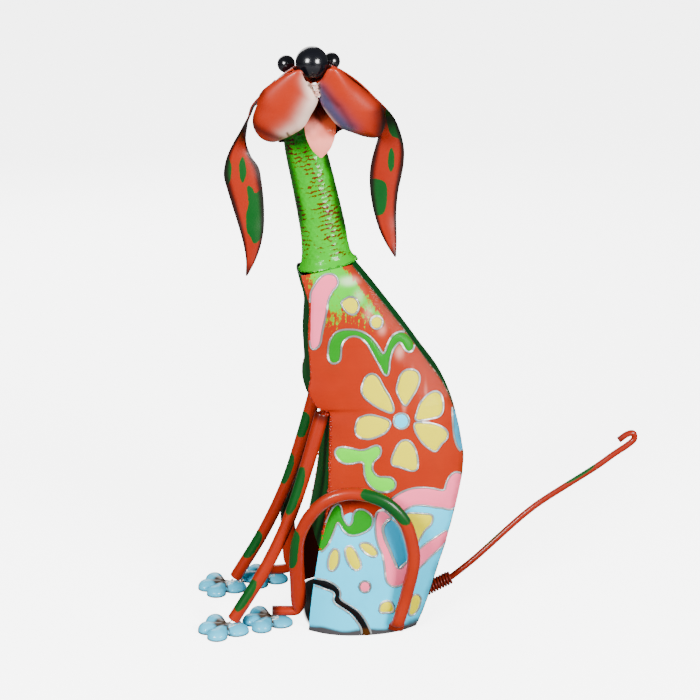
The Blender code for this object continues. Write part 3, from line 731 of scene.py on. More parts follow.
@dataclass(frozen=True)
class Muzzle(Finish):
    """The jowls' enamel: orange with airbrushed white, and painted shade over it in slate, maroon and black.
    """

    def colour(self, graph: Graph) -> Socket:
        """Orange with the sprayed white and the painted shade over it."""
        base = self.enamel(graph, srgb(156, 38, 8), srgb(138, 27, 7), 0.5)
        # Painted shade: the white seen in shade, blue-grey, on the jowl's lower flank.
        base = self.under(graph, base, "white_in_shade", srgb(58, 62, 94), 0.95, 0.15)
        base = self.under(graph, base, "white", srgb(240, 214, 196), 0.95, 0.15)
        # Painted shade: maroon, then black, where the dome turns away from the lights.
        base = self.under(graph, base, "maroon_shade", srgb(62, 7, 3), 0.95, 0.2)
        base = self.under(graph, base, "airbrush_and_shade", DARK_AIRBRUSH_AND_SHADE, 0.97, 0.2)
        return self.inner(graph, base, srgb(44, 8, 4))


@dataclass(frozen=True)
class PawBlue(Finish):
    """Pale blue enamel with brown in the creases and chips of bare white metal."""

    def colour(self, graph: Graph) -> Socket:
        """Blue, brown creases, chips."""
        base = self.enamel(graph, srgb(74, 190, 224), srgb(34, 142, 176), 0.7)
        base = self.under(graph, base, "crease", srgb(60, 36, 2), 0.97, 0.5)
        chip = graph.plus(graph.layer("chip"), graph.swing(graph.noise(420.0), 1.0))
        chip = graph.step(chip, 0.62, 0.7)
        return graph.mix(chip, base, srgb(236, 232, 224))


@dataclass(frozen=True)
class Tongue(Finish):
    """Pink enamel under orange and brown at the root and the edge."""

    def colour(self, graph: Graph) -> Socket:
        """Pink, with the root's orange over it."""
        base = self.enamel(graph, srgb(246, 148, 134), srgb(226, 104, 86), 0.5)
        base = self.under(graph, base, "root", srgb(158, 48, 10), 0.95, 0.3)
        return self.under(graph, base, "airbrush_and_shade", srgb(80, 36, 10), 0.8, 0.5)


@dataclass(frozen=True)
class Weld(Finish):
    """Painted weld: the neighbour's paint, with bright and dark bits."""

    light: Triple = ORANGE
    deep: Triple = RED_BROWN
    bare: Triple = srgb(214, 176, 158)
    share: float = 0.62

    def colour(self, graph: Graph) -> Socket:
        """Paint with bare bits where the noise is high."""
        base = self.enamel(graph, self.light, self.deep, 1.0)
        return graph.mix(graph.step(graph.noise(150.0, 3.0), self.share, self.share + 0.06), base, self.bare)


WELD_ORANGE = Weld("weld_orange", light=srgb(156, 34, 8), deep=srgb(110, 18, 6), share=0.7)


@dataclass(frozen=True)
class SilverLine(Finish):
    """The raised silver line round each motif."""

    def colour(self, graph: Graph) -> Socket:
        """Grey silver with darker stretches, and whiter stretches that are painted highlights."""
        grey = self.enamel(graph, srgb(158, 164, 164), srgb(84, 88, 86), 1.0)
        # Painted highlight: near-white stretches scattered along the line.
        return graph.mix(graph.step(graph.noise(70.0, 3.0), 0.56, 0.66), grey, srgb(232, 232, 230))


class GeometryGroup:
    """A Geometry Nodes group with named inputs, whose result is baked to a plain mesh."""

    def __init__(self, name: str, inputs: dict[str, tuple[str, object]]) -> None:
        """Makes the group's sockets.

        Args:
            name: the group's name.
            inputs: socket kind and default by input name.
        """
        self.tree = bpy.data.node_groups.new(name, "GeometryNodeTree")
        self.tree.interface.new_socket("Geometry", in_out="INPUT", socket_type="NodeSocketGeometry")
        for key, (kind, default) in inputs.items():
            socket = self.tree.interface.new_socket(key, in_out="INPUT", socket_type=kind)
            if default is not None:
                socket.default_value = default
        self.tree.interface.new_socket("Geometry", in_out="OUTPUT", socket_type="NodeSocketGeometry")
        self.graph = Graph(self.tree)
        self.into = self.graph.node("NodeGroupInput").outputs

    def chain(self, kind: str, source: Socket, mode: str = "",
              **inputs: object) -> bpy.types.Node:
        """Adds a node whose first input is source, with its mode and its other inputs by name."""
        made = self.graph.node(kind, **({"mode": mode} if mode else {}))
        self.tree.links.new(source, made.inputs[0])
        for key, value in inputs.items():
            self.graph.feed(made.inputs[key.replace("_", " ")], value)
        return made

    def finish(self, source: Socket) -> None:
        """Ends the group in real, smooth, dressed geometry."""
        real = self.chain("GeometryNodeRealizeInstances", source)
        smooth = self.chain("GeometryNodeSetShadeSmooth", real.outputs[0])
        dressed = self.chain("GeometryNodeSetMaterial", smooth.outputs[0], Material=self.into["Material"])
        self.tree.links.new(dressed.outputs[0], self.graph.node("NodeGroupOutput").inputs[0])

    def run(self, name: str, source: bpy.types.Mesh, values: dict[str, object]) -> bpy.types.Object:
        """Runs the group on a mesh and returns the plain result.

        Args:
            name: the new piece's name.
            source: the mesh that the group starts from.
            values: a value for each named input.

        Returns:
            The baked object.
        """
        worker = bpy.data.objects.new(name + "_work", source)
        bpy.context.scene.collection.objects.link(worker)
        modifier = worker.modifiers.new("nodes", "NODES")
        modifier.node_group = self.tree
        named = {item.name: item.identifier for item in self.tree.interface.items_tree
                 if item.in_out == "INPUT"}
        for key, value in values.items():
            modifier[named[key]] = value
        worker.update_tag()
        bpy.context.view_layer.update()
        graph = bpy.context.evaluated_depsgraph_get()
        baked = bpy.data.meshes.new_from_object(worker.evaluated_get(graph))
        bpy.data.objects.remove(worker)
        piece = bpy.data.objects.new(name, baked)
        baked.name = name
        bpy.context.scene.collection.objects.link(piece)
        return piece


class Lines:
    """Raised silver lines and lumpy weld beads along paths, made by Geometry Nodes.

    STEP is the distance between a raised line's rings, in millimetres.
    """

    STEP = 1.2

    def __init__(self) -> None:
        """Builds both groups."""
        self.raised = self.raised_line()
        self.lumps = self.weld_bead()

    @staticmethod
    def evened(group: GeometryGroup) -> Socket:
        """The group's edges as a curve with evenly spaced points."""
        curve = group.chain("GeometryNodeMeshToCurve", group.into["Geometry"])
        even = group.chain("GeometryNodeResampleCurve", curve.outputs[0], "LENGTH",
                           Length=group.into["Spacing"])
        return even.outputs[0]

    @classmethod
    def raised_line(cls) -> GeometryGroup:
        """A round line whose girth wanders along it."""
        group = GeometryGroup("Raised line", {
            "Radius": ("NodeSocketFloat", 0.001), "Spacing": ("NodeSocketFloat", 0.0012),
            "Variation": ("NodeSocketFloat", 0.4), "Material": ("NodeSocketMaterial", None)})
        graph, into = group.graph, group.into
        noise = graph.node("ShaderNodeTexNoise")
        graph.feed(noise.inputs["Scale"], 110.0)
        wave = graph.times(graph.swing(noise.outputs["Fac"], into["Variation"]), 2.0)
        girth = graph.plus(wave, 1.0)
        wide = group.chain("GeometryNodeSetCurveRadius", cls.evened(group), Radius=girth)
        profile = graph.node("GeometryNodeCurvePrimitiveCircle")
        graph.feed(profile.inputs["Resolution"], 8)
        graph.feed(profile.inputs["Radius"], into["Radius"])
        swept = group.chain("GeometryNodeCurveToMesh", wide.outputs[0], Profile_Curve=profile.outputs[0],
                            Scale=girth, Fill_Caps=True)
        group.finish(swept.outputs[0])
        return group

    @classmethod
    def weld_bead(cls) -> GeometryGroup:
        """A row of small lumps, each turned and stretched at random."""
        group = GeometryGroup("Weld bead", {
            "Radius": ("NodeSocketFloat", 0.0015), "Spacing": ("NodeSocketFloat", 0.0015),
            "Scatter": ("NodeSocketFloat", 0.0004), "Seed": ("NodeSocketInt", SEED),
            "Material": ("NodeSocketMaterial", None)})
        graph, into = group.graph, group.into

        def random(low: Triple, high: Triple, seed: object) -> Socket:
            """A vector for each point, between two others."""
            made = graph.node("FunctionNodeRandomValue", data_type="FLOAT_VECTOR")
            graph.feed(made.inputs[0], low)
            graph.feed(made.inputs[1], high)
            graph.feed(made.inputs["Seed"], seed)
            return made.outputs[0]

        points = group.chain("GeometryNodeCurveToPoints", cls.evened(group), "EVALUATED")
        shift = graph.node("ShaderNodeVectorMath", operation="SCALE")
        graph.feed(shift.inputs[0], random((-1.0, -1.0, -1.0), (1.0, 1.0, 1.0), into["Seed"]))
        graph.feed(shift.inputs["Scale"], into["Scatter"])
        moved = group.chain("GeometryNodeSetPosition", points.outputs[0], Offset=shift.outputs[0])
        ball = graph.node("GeometryNodeMeshIcoSphere")
        graph.feed(ball.inputs["Radius"], into["Radius"])
        graph.feed(ball.inputs["Subdivisions"], 3)
        size = random((0.65, 0.5, 0.55), (1.2, 1.0, 1.3), graph.plus(into["Seed"], 5.0))
        turn = random((0.0, 0.0, 0.0), (6.28, 6.28, 6.28), graph.plus(into["Seed"], 9.0))
        placed = group.chain("GeometryNodeInstanceOnPoints", moved.outputs[0], Instance=ball.outputs[0],
                             Rotation=turn, Scale=size)
        group.finish(placed.outputs[0])
        return group

    @staticmethod
    def paths(name: str, runs: Runs) -> bpy.types.Mesh:
        """A mesh of edges along each run of points, in drawing millimetres. The flag closes a run."""
        points, edges = [], []
        for run, closed in runs:
            first = len(points)
            points += DRAWING.place(run).tolist()
            edges += [(first + k, first + k + 1) for k in range(len(run) - 1)]
            if closed:
                edges.append((first + len(run) - 1, first))
        made = bpy.data.meshes.new(name)
        made.from_pydata(points, edges, [])
        return made

    def line(self, name: str, runs: Runs, radius: float, finish: Finish,
             slot: Slot, variation: float = 0.4) -> bpy.types.Object:
        """A raised line along the runs."""
        piece = self.raised.run(name, self.paths(name, runs), {
            "Radius": radius / 1000, "Spacing": self.STEP / 1000, "Variation": variation,
            "Material": finish.material()})
        return Pieces.dress(piece, finish, slot)

    def weld(self, name: str, runs: Runs, radius: float, finish: Finish,
             slot: Slot, spacing: float = 1.5, scatter: float = 0.4, seed: int = SEED) -> bpy.types.Object:
        """A lumpy weld along the runs."""
        piece = self.lumps.run(name, self.paths(name, runs), {
            "Radius": radius / 1000, "Spacing": spacing / 1000, "Scatter": scatter / 1000, "Seed": seed,
            "Material": finish.material()})
        return Pieces.dress(piece, finish, slot)


@dataclass(frozen=True)
class Motif:
    """One painted shape: its name, paint and outline in (x, z)."""

    name: str
    enamel: Enamel
    outline: Sequence[Pair]

    def loop(self) -> Array:
        """The smooth outline."""
        return smooth_loop(self.outline, 6 * len(self.outline))


MOTIFS = (
    Motif("upper_stroke", Enamel.PINK, (
        (-21.1, 338.3), (-16.6, 336.3), (-14.8, 331.7), (-15.8, 328.1), (-19.5, 324.1), (-22.8, 318.3),
        (-24.5, 312.8), (-25.8, 304.5), (-27.7, 295.3), (-30.1, 285.2), (-31.6, 276.8), (-33.9, 272.5),
        (-38.0, 270.9), (-39.6, 278.3), (-39.2, 289.4), (-38.9, 301.4), (-38.4, 315.3), (-37.9, 321.8),
        (-36.0, 326.0), (-33.5, 330.2), (-30.3, 334.3), (-26.2, 337.5))),
    Motif("upper_dot", Enamel.YELLOW, (
        (-10.3, 312.2), (-7.3, 315.2), (-3.2, 316.9), (1.4, 315.4), (3.7, 311.3), (3.4, 306.3),
        (0.3, 303.0), (-3.9, 303.6), (-7.7, 307.1))),
    Motif("second_dot", Enamel.YELLOW, (
        (16.0, 294.5), (17.8, 297.7), (21.6, 298.8), (24.8, 296.8), (25.8, 293.5), (24.2, 290.2),
        (20.7, 289.0), (17.5, 290.8))),
    Motif("upper_scroll", Enamel.DARK_GREEN, (
        (-23.1, 267.8), (-23.0, 262.3), (-21.0, 258.9), (-17.9, 258.4), (-14.4, 260.6), (-13.2, 266.0),
        (-12.7, 272.9), (-10.2, 278.4), (-5.1, 282.2), (1.3, 282.9), (7.3, 280.5), (12.3, 275.6),
        (15.9, 269.5), (19.5, 262.6), (23.5, 255.3), (27.0, 248.4), (29.6, 246.5), (31.1, 251.4),
        (31.9, 258.5), (34.5, 266.8), (38.0, 272.4), (41.8, 275.2), (44.9, 273.8), (47.4, 269.4),
        (50.4, 266.3), (53.6, 266.9), (55.5, 270.8), (54.4, 275.8), (50.2, 280.4), (44.7, 282.9),
        (39.4, 282.3), (35.1, 279.1), (31.6, 272.8), (28.8, 265.8), (25.6, 265.1), (22.5, 269.7),
        (18.3, 276.0), (12.9, 281.6), (5.5, 285.8), (-2.7, 287.3), (-10.5, 287.1), (-16.5, 284.6),
        (-20.7, 279.1), (-22.5, 273.3))),
    Motif("petal_upper_left", Enamel.YELLOW, (
        (10.2, 243.6), (14.0, 246.4), (17.7, 246.2), (21.3, 243.2), (24.0, 238.2), (26.9, 232.7),
        (30.5, 226.7), (33.2, 220.3), (34.4, 214.4), (32.1, 212.9), (27.2, 214.8), (21.2, 217.7),
        (14.8, 222.0), (9.0, 227.3), (6.9, 232.4), (7.9, 238.2))),
    Motif("petal_top", Enamel.YELLOW, (
        (40.6, 238.4), (42.8, 244.3), (46.7, 248.1), (52.4, 248.7), (57.1, 246.8), (59.5, 242.5),
        (58.7, 237.3), (55.7, 231.2), (51.8, 225.7), (48.3, 221.0), (45.9, 218.8), (43.5, 222.1),
        (40.5, 228.1), (39.3, 233.5))),
    Motif("petal_upper_right", Enamel.YELLOW, (
        (56.4, 205.6), (58.0, 211.9), (61.0, 218.8), (67.0, 224.7), (73.6, 227.5), (78.4, 225.8),
        (80.9, 220.5), (81.3, 212.5), (78.0, 207.2), (70.7, 205.7), (62.5, 205.1))),
    Motif("petal_lower_right", Enamel.YELLOW, (
        (55.2, 200.7), (61.5, 201.0), (69.1, 199.8), (76.8, 197.2), (82.6, 193.3), (85.3, 188.9),
        (83.9, 184.4), (79.7, 181.3), (76.5, 177.2), (73.6, 174.9), (68.8, 177.7), (63.1, 182.8),
        (58.5, 189.3), (55.7, 195.3))),
    Motif("petal_bottom", Enamel.YELLOW, (
        (42.5, 185.0), (47.1, 185.4), (50.9, 182.6), (53.9, 177.4), (55.6, 170.8), (56.2, 163.8),
        (55.1, 159.2), (50.5, 158.6), (44.9, 160.7), (39.4, 162.9), (34.0, 164.5), (33.4, 169.2),
        (35.8, 175.6), (39.0, 181.5))),
    Motif("petal_left", Enamel.YELLOW, (
        (3.1, 205.7), (7.3, 208.2), (13.3, 209.4), (20.6, 208.0), (27.0, 205.9), (30.7, 203.4),
        (29.9, 198.9), (25.9, 194.6), (19.4, 191.5), (12.0, 189.4), (5.0, 190.2), (0.9, 193.7),
        (0.8, 200.1))),
    Motif("flower_centre", Enamel.PALE_BLUE, (
        (35.9, 204.4), (37.5, 208.6), (42.2, 210.3), (46.7, 208.2), (48.4, 203.9), (46.5, 199.7),
        (42.0, 198.0), (37.5, 200.0))),
    Motif("rear_patch", Enamel.TEAL, (
        (89.6, 225.0), (91.9, 218.0), (92.1, 205.3), (92.7, 191.5), (94.3, 182.1), (97.2, 174.6),
        (101.2, 171.7), (104.0, 181.1), (101.3, 200.0), (97.7, 215.0), (93.1, 227.2))),
    Motif("squiggle", Enamel.LIGHT_GREEN, (
        (-18.2, 174.0), (-16.0, 177.9), (-10.9, 179.2), (-3.7, 178.2), (3.6, 177.0), (10.0, 178.1),
        (15.5, 180.7), (20.0, 181.3), (21.9, 178.1), (20.9, 173.4), (18.0, 170.4), (14.7, 166.5),
        (13.7, 161.4), (15.4, 156.5), (19.7, 152.6), (26.2, 152.0), (31.7, 151.0), (34.9, 147.1),
        (34.2, 142.7), (29.7, 140.3), (22.3, 140.0), (15.9, 142.9), (11.3, 147.5), (8.7, 154.0),
        (7.9, 161.4), (7.3, 166.2), (3.4, 167.8), (-3.8, 166.1), (-10.2, 165.7), (-15.5, 168.6))),
    Motif("hip_band", Enamel.PINK, (
        (31.4, 130.0), (37.1, 134.7), (44.7, 138.5), (53.2, 140.4), (62.7, 140.3), (71.3, 138.5),
        (78.7, 136.0), (83.1, 136.2), (85.1, 141.9), (87.9, 147.7), (92.1, 150.8), (97.1, 150.0),
        (102.0, 145.1), (101.1, 135.6), (99.2, 127.0), (95.4, 119.3), (88.5, 117.0), (81.3, 120.0),
        (72.4, 122.5), (62.6, 125.4), (53.0, 126.0), (47.4, 124.0), (42.6, 121.4), (37.0, 118.8),
        (29.5, 122.9))),
    Motif("lower_scroll", Enamel.DARK_GREEN, (
        (-23.6, 117.2), (-20.4, 122.9), (-16.5, 125.2), (-14.9, 121.0), (-13.7, 114.5), (-11.1, 109.1),
        (-7.5, 106.0), (-3.8, 110.2), (-2.8, 116.7), (-0.0, 120.7), (4.5, 121.7), (9.4, 119.4),
        (13.2, 114.7), (13.3, 108.9), (10.2, 104.2), (4.3, 100.7), (-2.1, 98.7), (-7.6, 98.9),
        (-12.1, 102.4), (-15.1, 107.5), (-17.4, 109.9), (-19.7, 107.0), (-22.0, 100.4), (-24.9, 92.5),
        (-28.6, 85.3), (-32.7, 80.5), (-36.1, 80.7), (-34.4, 89.3), (-30.6, 99.2), (-26.8, 109.2))),
    Motif("toe_left", Enamel.YELLOW, (
        (-21.2, 82.7), (-18.0, 81.4), (-17.5, 75.3), (-18.9, 68.5), (-22.2, 63.6), (-25.3, 63.6),
        (-26.2, 68.6), (-24.9, 76.4))),
    Motif("toe_middle", Enamel.YELLOW, (
        (-10.3, 84.5), (-6.8, 86.8), (-3.2, 83.6), (-0.3, 77.8), (2.0, 72.1), (2.1, 67.7), (-1.2, 65.2),
        (-5.3, 67.6), (-8.4, 73.1), (-10.3, 79.2))),
    Motif("toe_right", Enamel.YELLOW, (
        (2.8, 89.0), (7.4, 90.4), (12.5, 88.4), (16.2, 84.4), (17.6, 80.5), (15.0, 78.3), (10.1, 80.4),
        (5.5, 84.3))),
    Motif("small_dot", Enamel.PINK, (
        (2.3, 48.3), (3.7, 51.7), (6.6, 52.9), (9.8, 51.5), (11.1, 48.1), (9.7, 44.7), (6.6, 43.5),
        (3.7, 44.9))),
    Motif("crack", Enamel.BLACK, (
        (-44.6, 51.6), (-34.5, 51.8), (-28.2, 51.5), (-21.9, 48.9), (-18.3, 45.4), (-17.0, 41.4),
        (-17.2, 36.7), (-13.9, 33.1), (-7.5, 29.2), (-1.0, 24.3), (3.9, 18.2), (7.7, 11.1), (11.0, 2.7),
        (12.1, -5.1), (5.5, -4.7), (3.6, 7.1), (-1.1, 15.4), (-6.6, 22.3), (-13.0, 27.0), (-19.1, 30.9),
        (-21.9, 34.5), (-20.9, 39.3), (-22.5, 42.7), (-28.3, 44.7), (-34.6, 46.0), (-44.7, 48.0))),
    Motif("foot_dot_front", Enamel.YELLOW, (
        (21.3, 23.1), (21.6, 28.6), (24.5, 31.8), (29.3, 32.0), (32.2, 28.7), (32.8, 22.7), (27.4, 22.3))),
    Motif("foot_dot_rear", Enamel.YELLOW, (
        (51.9, 32.1), (54.8, 34.7), (57.9, 33.4), (60.1, 29.1), (59.3, 22.7), (56.4, 17.0), (52.3, 14.6),
        (49.8, 17.4), (50.6, 24.8))),
    Motif("wedge", Enamel.YELLOW, (
        (43.6, 116.2), (49.2, 117.5), (58.8, 116.3), (68.3, 114.1), (70.5, 110.5), (68.6, 105.1),
        (62.8, 100.0), (58.9, 93.6), (56.0, 89.0), (53.6, 93.3), (50.0, 101.5), (46.2, 109.6))),
    Motif("vee", Enamel.PINK, (
        (19.3, 119.4), (23.3, 120.9), (27.6, 118.2), (30.4, 114.3), (26.7, 111.0), (24.0, 106.8),
        (23.1, 101.6), (25.6, 93.3), (29.3, 83.9), (33.1, 74.0), (36.8, 64.9), (39.0, 63.9), (42.6, 66.8),
        (46.9, 69.8), (51.8, 73.2), (57.6, 79.4), (64.9, 85.2), (72.8, 89.3), (79.9, 92.5), (85.0, 94.4),
        (87.6, 90.6), (85.7, 85.2), (80.2, 80.0), (73.1, 75.3), (66.2, 69.8), (59.2, 63.9), (51.9, 58.2),
        (46.6, 53.2), (41.7, 49.0), (35.9, 47.7), (31.1, 49.2), (27.6, 54.2), (26.4, 62.2), (25.5, 71.0),
        (23.7, 79.8), (20.3, 88.7), (18.2, 97.4), (17.7, 106.0), (18.1, 114.1))),
    Motif("inset", Enamel.TEAL, (
        (24.1, 105.8), (27.1, 110.1), (30.4, 112.8), (36.9, 107.2), (41.6, 97.3), (44.8, 85.3),
        (46.9, 74.3), (42.6, 68.3), (38.3, 66.0), (34.2, 74.4), (30.3, 84.4), (26.6, 93.2), (24.5, 101.0))),
    Motif("field", Enamel.PALE_BLUE, (
        (-52.8, 78.3), (-35.9, 79.0), (-28.6, 84.4), (-20.2, 103.5), (-11.0, 116.2), (-6.4, 118.9),
        (-1.0, 118.2), (8.1, 113.7), (15.5, 113.7), (20.2, 122.2), (35.2, 125.6), (43.6, 122.8),
        (53.0, 127.0), (62.6, 126.6), (72.3, 123.5), (81.3, 121.0), (90.5, 117.1), (107.8, 123.7),
        (116.0, 64.0), (100.0, -17.6), (61.5, -31.4), (-17.0, -20.2), (-72.8, -19.3), (-67.4, 31.8))),
)


def daisy(x: float, z: float, reach: float, petals: int, turn: float) -> list[Motif]:
    """A flower of teardrop petals round a disc."""
    made = []
    for k in range(petals):
        angle = turn + 2 * math.pi * k / petals
        across, up = math.cos(angle), math.sin(angle)
        points = [(x + reach * (a * across - b * up), z + reach * (a * up + b * across))
                  for a, b in ((0.3, 0.0), (0.6, -0.2), (0.92, -0.24), (1.06, 0.0), (0.92, 0.26), (0.6, 0.2))]
        made.append(Motif(f"petal_{k}", Enamel.YELLOW, points))
    disc = [(x + reach * 0.18 * math.cos(a), z + reach * 0.18 * math.sin(a))
            for a in np.arange(8) * math.pi / 4]
    return [*made, Motif("disc", Enamel.PALE_BLUE, disc)]


FAR_MOTIFS = (
    *(m for m in MOTIFS if m.name in ("upper_stroke", "upper_dot", "second_dot", "field", "small_dot",
                                      "crack", "foot_dot_front", "foot_dot_rear", "squiggle",
                                      "lower_scroll")),
    *daisy(44.0, 205.0, 44.0, 6, 0.35),
    Motif("hip_band", Enamel.PINK, ((24.6, 131.0), (36.0, 141.0), (60.0, 146.0), (84.0, 142.0), (90.0, 128.0),
                                    (74.0, 128.0), (50.0, 131.0), (34.0, 126.0))),
)


@dataclass
class Body:
    """The two painted panels and the green strips between them.

    Attributes:
        front: the chest edge, (z, x) from the floor up.
        back: the back edge, (z, x) from the floor up.
        half_width: half the body's width at the edges, by z.
        bulge: how far the panels swell beyond that, by z.
        back_crown: how far the back strip is crowned, by z.
        chest_crown: how far the chest strip is crowned, by z.
        bulge_power: how flat the middle of the swell is.
        strip_foot: where the chest strip ends below.
        columns: how many faces a panel has across.
        rows: how many it has up.
        emboss: how far a motif stands out.
        line_off: how far outside its motif a silver line runs.
        dent_span: the usual distance between two of the hammer's slow dents.
        dent_depth: how deep they are.
        sheen: painted highlights, as patches, where the lights shine on the near panel.
    """

    front: Table = (
        (0, -45.5), (34.7, -41.9), (78.5, -35.3), (115.6, -28.8), (142.3, -25.5), (168.7, -24.6),
        (200.5, -23.5), (211.4, -23.3), (213.7, -31.6), (220.4, -38.0), (230.9, -42.5), (246.0, -40.4),
        (279.0, -41.8), (308.0, -40.4), (323.9, -43.7), (337.6, -47.4))
    back: Table = (
        (0, 57.5), (25.1, 67.0), (61.9, 77.9), (83.5, 84.8), (122.2, 94.3), (158.0, 101.2), (180.0, 99.8),
        (210.0, 93.4), (235.7, 82.6), (260.8, 64.8), (291.8, 42.3), (327.4, 14.7), (346.7, -0.8))
    half_width: Table = ((0, 57), (60, 56), (130, 52), (200, 43), (270, 31), (330, 25), (350, 24))
    bulge: Table = ((0, 17), (100, 13.5), (200, 10), (300, 5), (350, 1.5))
    back_crown: Table = ((0, 2.5), (200, 3), (300, 4), (347, 5))
    chest_crown: Table = ((0, 1.5), (338, 2.5))
    bulge_power: float = 2.4
    strip_foot: float = 82.0
    columns: int = 118
    rows: int = 270
    emboss: float = 0.55
    line_off: float = 1.0
    dent_span: float = 70.0
    dent_depth: float = 0.55
    sheen: Rows = (
        (-4.0, 332.0, 10, 5, 0.85), (5.0, 318.0, 6, 8, 0.5), (14.0, 303.0, 5, 8, 0.5),
        (26.0, 287.0, 5, 6, 0.55), (42.0, 266.0, 5, 8, 0.6), (54.0, 243.0, 2.6, 9, 0.45),
        (45.0, 219.0, 2.6, 9, 0.5), (66.0, 226.0, 2.2, 14, 0.4))

    @staticmethod
    def eased(table: Table) -> Callable[[Array], Array]:
        """Reading of an outline with its corners eased."""
        curve = smooth_curve([(z, x, 0.0) for z, x in table], 400)
        heights = np.maximum.accumulate(curve[:, 0])
        return lambda value: np.interp(value, heights, curve[:, 1])

    def surface(self, share: Array, height: Array) -> Array:
        """Outer points of the near panel, from the chest edge at share 0 to the back edge at 1."""
        rise = height * self.back[-1][0] / self.front[-1][0]
        first, last = self.eased(self.front)(height), self.eased(self.back)(rise)
        z = height + (rise - height) * share
        swell = 1 - np.abs(2 * share - 1) ** self.bulge_power
        y = -(reader(self.half_width)(z) + reader(self.bulge)(z) * swell)
        return np.stack([first + (last - first) * share, y, z], -1)

    def depth(self, x: Array, z: Array) -> Array:
        """How far the panel's outer face stands from the middle plane."""
        first, last = self.eased(self.front)(z), self.eased(self.back)(z)
        share = np.clip((x - first) / (last - first), 0, 1)
        swell = 1 - np.abs(2 * share - 1) ** self.bulge_power
        return reader(self.half_width)(z) + reader(self.bulge)(z) * swell

    def dents(self, flat: Array, share: Array) -> Array:
        """The hammer's slow dents at (x, z), none at the panel's edges, by share from 0 to 1 across it."""
        edge = np.clip(np.minimum(share, 1 - share) * 8, 0, 1)
        return waves(flat, self.dent_span, SEED) * self.dent_depth * edge

    def grid(self) -> Array:
        """The near panel's outer grid, with slow dents from the hammer."""
        even = np.linspace(0, 1, self.columns + 1)
        share = 0.35 * (0.5 - 0.5 * np.cos(np.pi * even)) + 0.65 * even
        height = np.linspace(0, self.front[-1][0], self.rows + 1)
        spread, level = np.meshgrid(share, height)
        points = self.surface(spread, level)
        points[..., 1] -= self.dents(points[..., [0, 2]], spread)
        return points

    def painted(self, points: Array, motifs: Sequence[Motif]) -> tuple[Array, Layers]:
        """How far each point is pushed out, and the paint's layers."""
        flat = points[..., [0, 2]].reshape(-1, 2)
        layers = {enamel.value: np.full(len(flat), FAR) for enamel in Enamel}
        push = np.zeros(len(flat))
        for motif in motifs:
            reach = 400.0 if motif.name == "field" else 14.0
            distance = loop_distance(flat, motif.loop(), reach)
            key = motif.enamel.value
            layers[key] = np.minimum(layers[key], distance)
            if motif.name != "field":
                push = np.maximum(push, smoothstep(0.0, 2.6, -distance) * self.emboss)
        shape = points.shape[:2]
        return push.reshape(shape), {key: values.reshape(shape) for key, values in layers.items()}

    def weathered(self, points: Array, near: bool) -> Layers:
        """The dry-brushed lime under the collar, the patches of painted glare, and the dark brown along the
        bottom and the back edge.
        """
        x, z = points[..., 0], points[..., 2]
        first, last = self.eased(self.front)(z), self.eased(self.back)(z)
        ragged = waves(points[..., [0, 2]], 26, SEED + 3) * 0.12
        dry = smoothstep(262, 340, z + 60 * ragged)
        dry = dry * smoothstep(2, 16, last - x) * smoothstep(-8, 24, x - first)
        # Dark brown airbrush along the bottom edge and the rear corner; the back edge is made darker too.
        airbrush_and_shade = 1.25 * smoothstep(9.5, 1.5, z + 9 * ragged)
        airbrush_and_shade = np.maximum(airbrush_and_shade, 0.95 * smoothstep(16, 2, z) * smoothstep(24, 10, last - x))
        airbrush_and_shade = np.maximum(airbrush_and_shade, 0.42 * smoothstep(9.0, 1.0, last - x))
        # Painted highlight: the glare patches, on the near panel only.
        return {"dry": dry * 0.9, "airbrush_and_shade": airbrush_and_shade, "glare": patches(x, z, self.sheen if near else ())}

    def panel(self, name: str, near: bool, motifs: Sequence[Motif]) -> bpy.types.Object:
        """One panel in place of its CAD node."""
        base = self.grid()
        push, layers = self.painted(base, motifs)
        layers |= self.weathered(base, near)
        outer = base + grid_normals(base) * push[..., None]
        outer = outer * np.array([1.0, 1.0 if near else -1.0, 1.0])
        piece = Pieces.sheet(name, outer, layers, flip=not near)
        finish = MotifPanel("motif_panel", roughness=0.5, coat=0.02, skin=0.1, specular=0.04)
        return Pieces.dress(piece, finish, Slot.PANEL, "body_panel_left" if near else "body_panel_right")

    def outline_runs(self, motifs: Sequence[Motif], near: bool) -> list[tuple[Array, bool]]:
        """The silver lines' paths on the panel, a little outside each shape."""
        side = -1.0 if near else 1.0
        runs = []
        for motif in motifs:
            loop = motif.loop()
            ahead = unit(np.roll(loop, -1, axis=0) - np.roll(loop, 1, axis=0))
            out = np.stack([ahead[:, 1], -ahead[:, 0]], 1)
            turning = np.sum(loop[:, 0] * np.roll(loop[:, 1], -1) - np.roll(loop[:, 0], -1) * loop[:, 1])
            path = loop + out * self.line_off * (1 if turning > 0 else -1)
            first, last = self.eased(self.front)(path[:, 1]), self.eased(self.back)(path[:, 1])
            inside = (path[:, 0] > first + 1.2) & (path[:, 0] < last - 1.0) & (path[:, 1] > 1.5)
            y = self.depth(path[:, 0], np.maximum(path[:, 1], 0))
            places = np.stack([path[:, 0], side * (y + 0.05), path[:, 1]], 1)
            places[:, 1] += side * self.dents(path, (path[:, 0] - first) / (last - first))
            if inside.all():
                runs.append((places, True))
                continue
            start = int(np.flatnonzero(~inside)[0])
            order = np.roll(np.arange(len(path)), -start)
            run: list[int] = []
            for k in [*order, order[0]]:
                if inside[k]:
                    run.append(int(k))
                    continue
                if len(run) > 3:
                    runs.append((places[run], False))
                run = []
        return runs

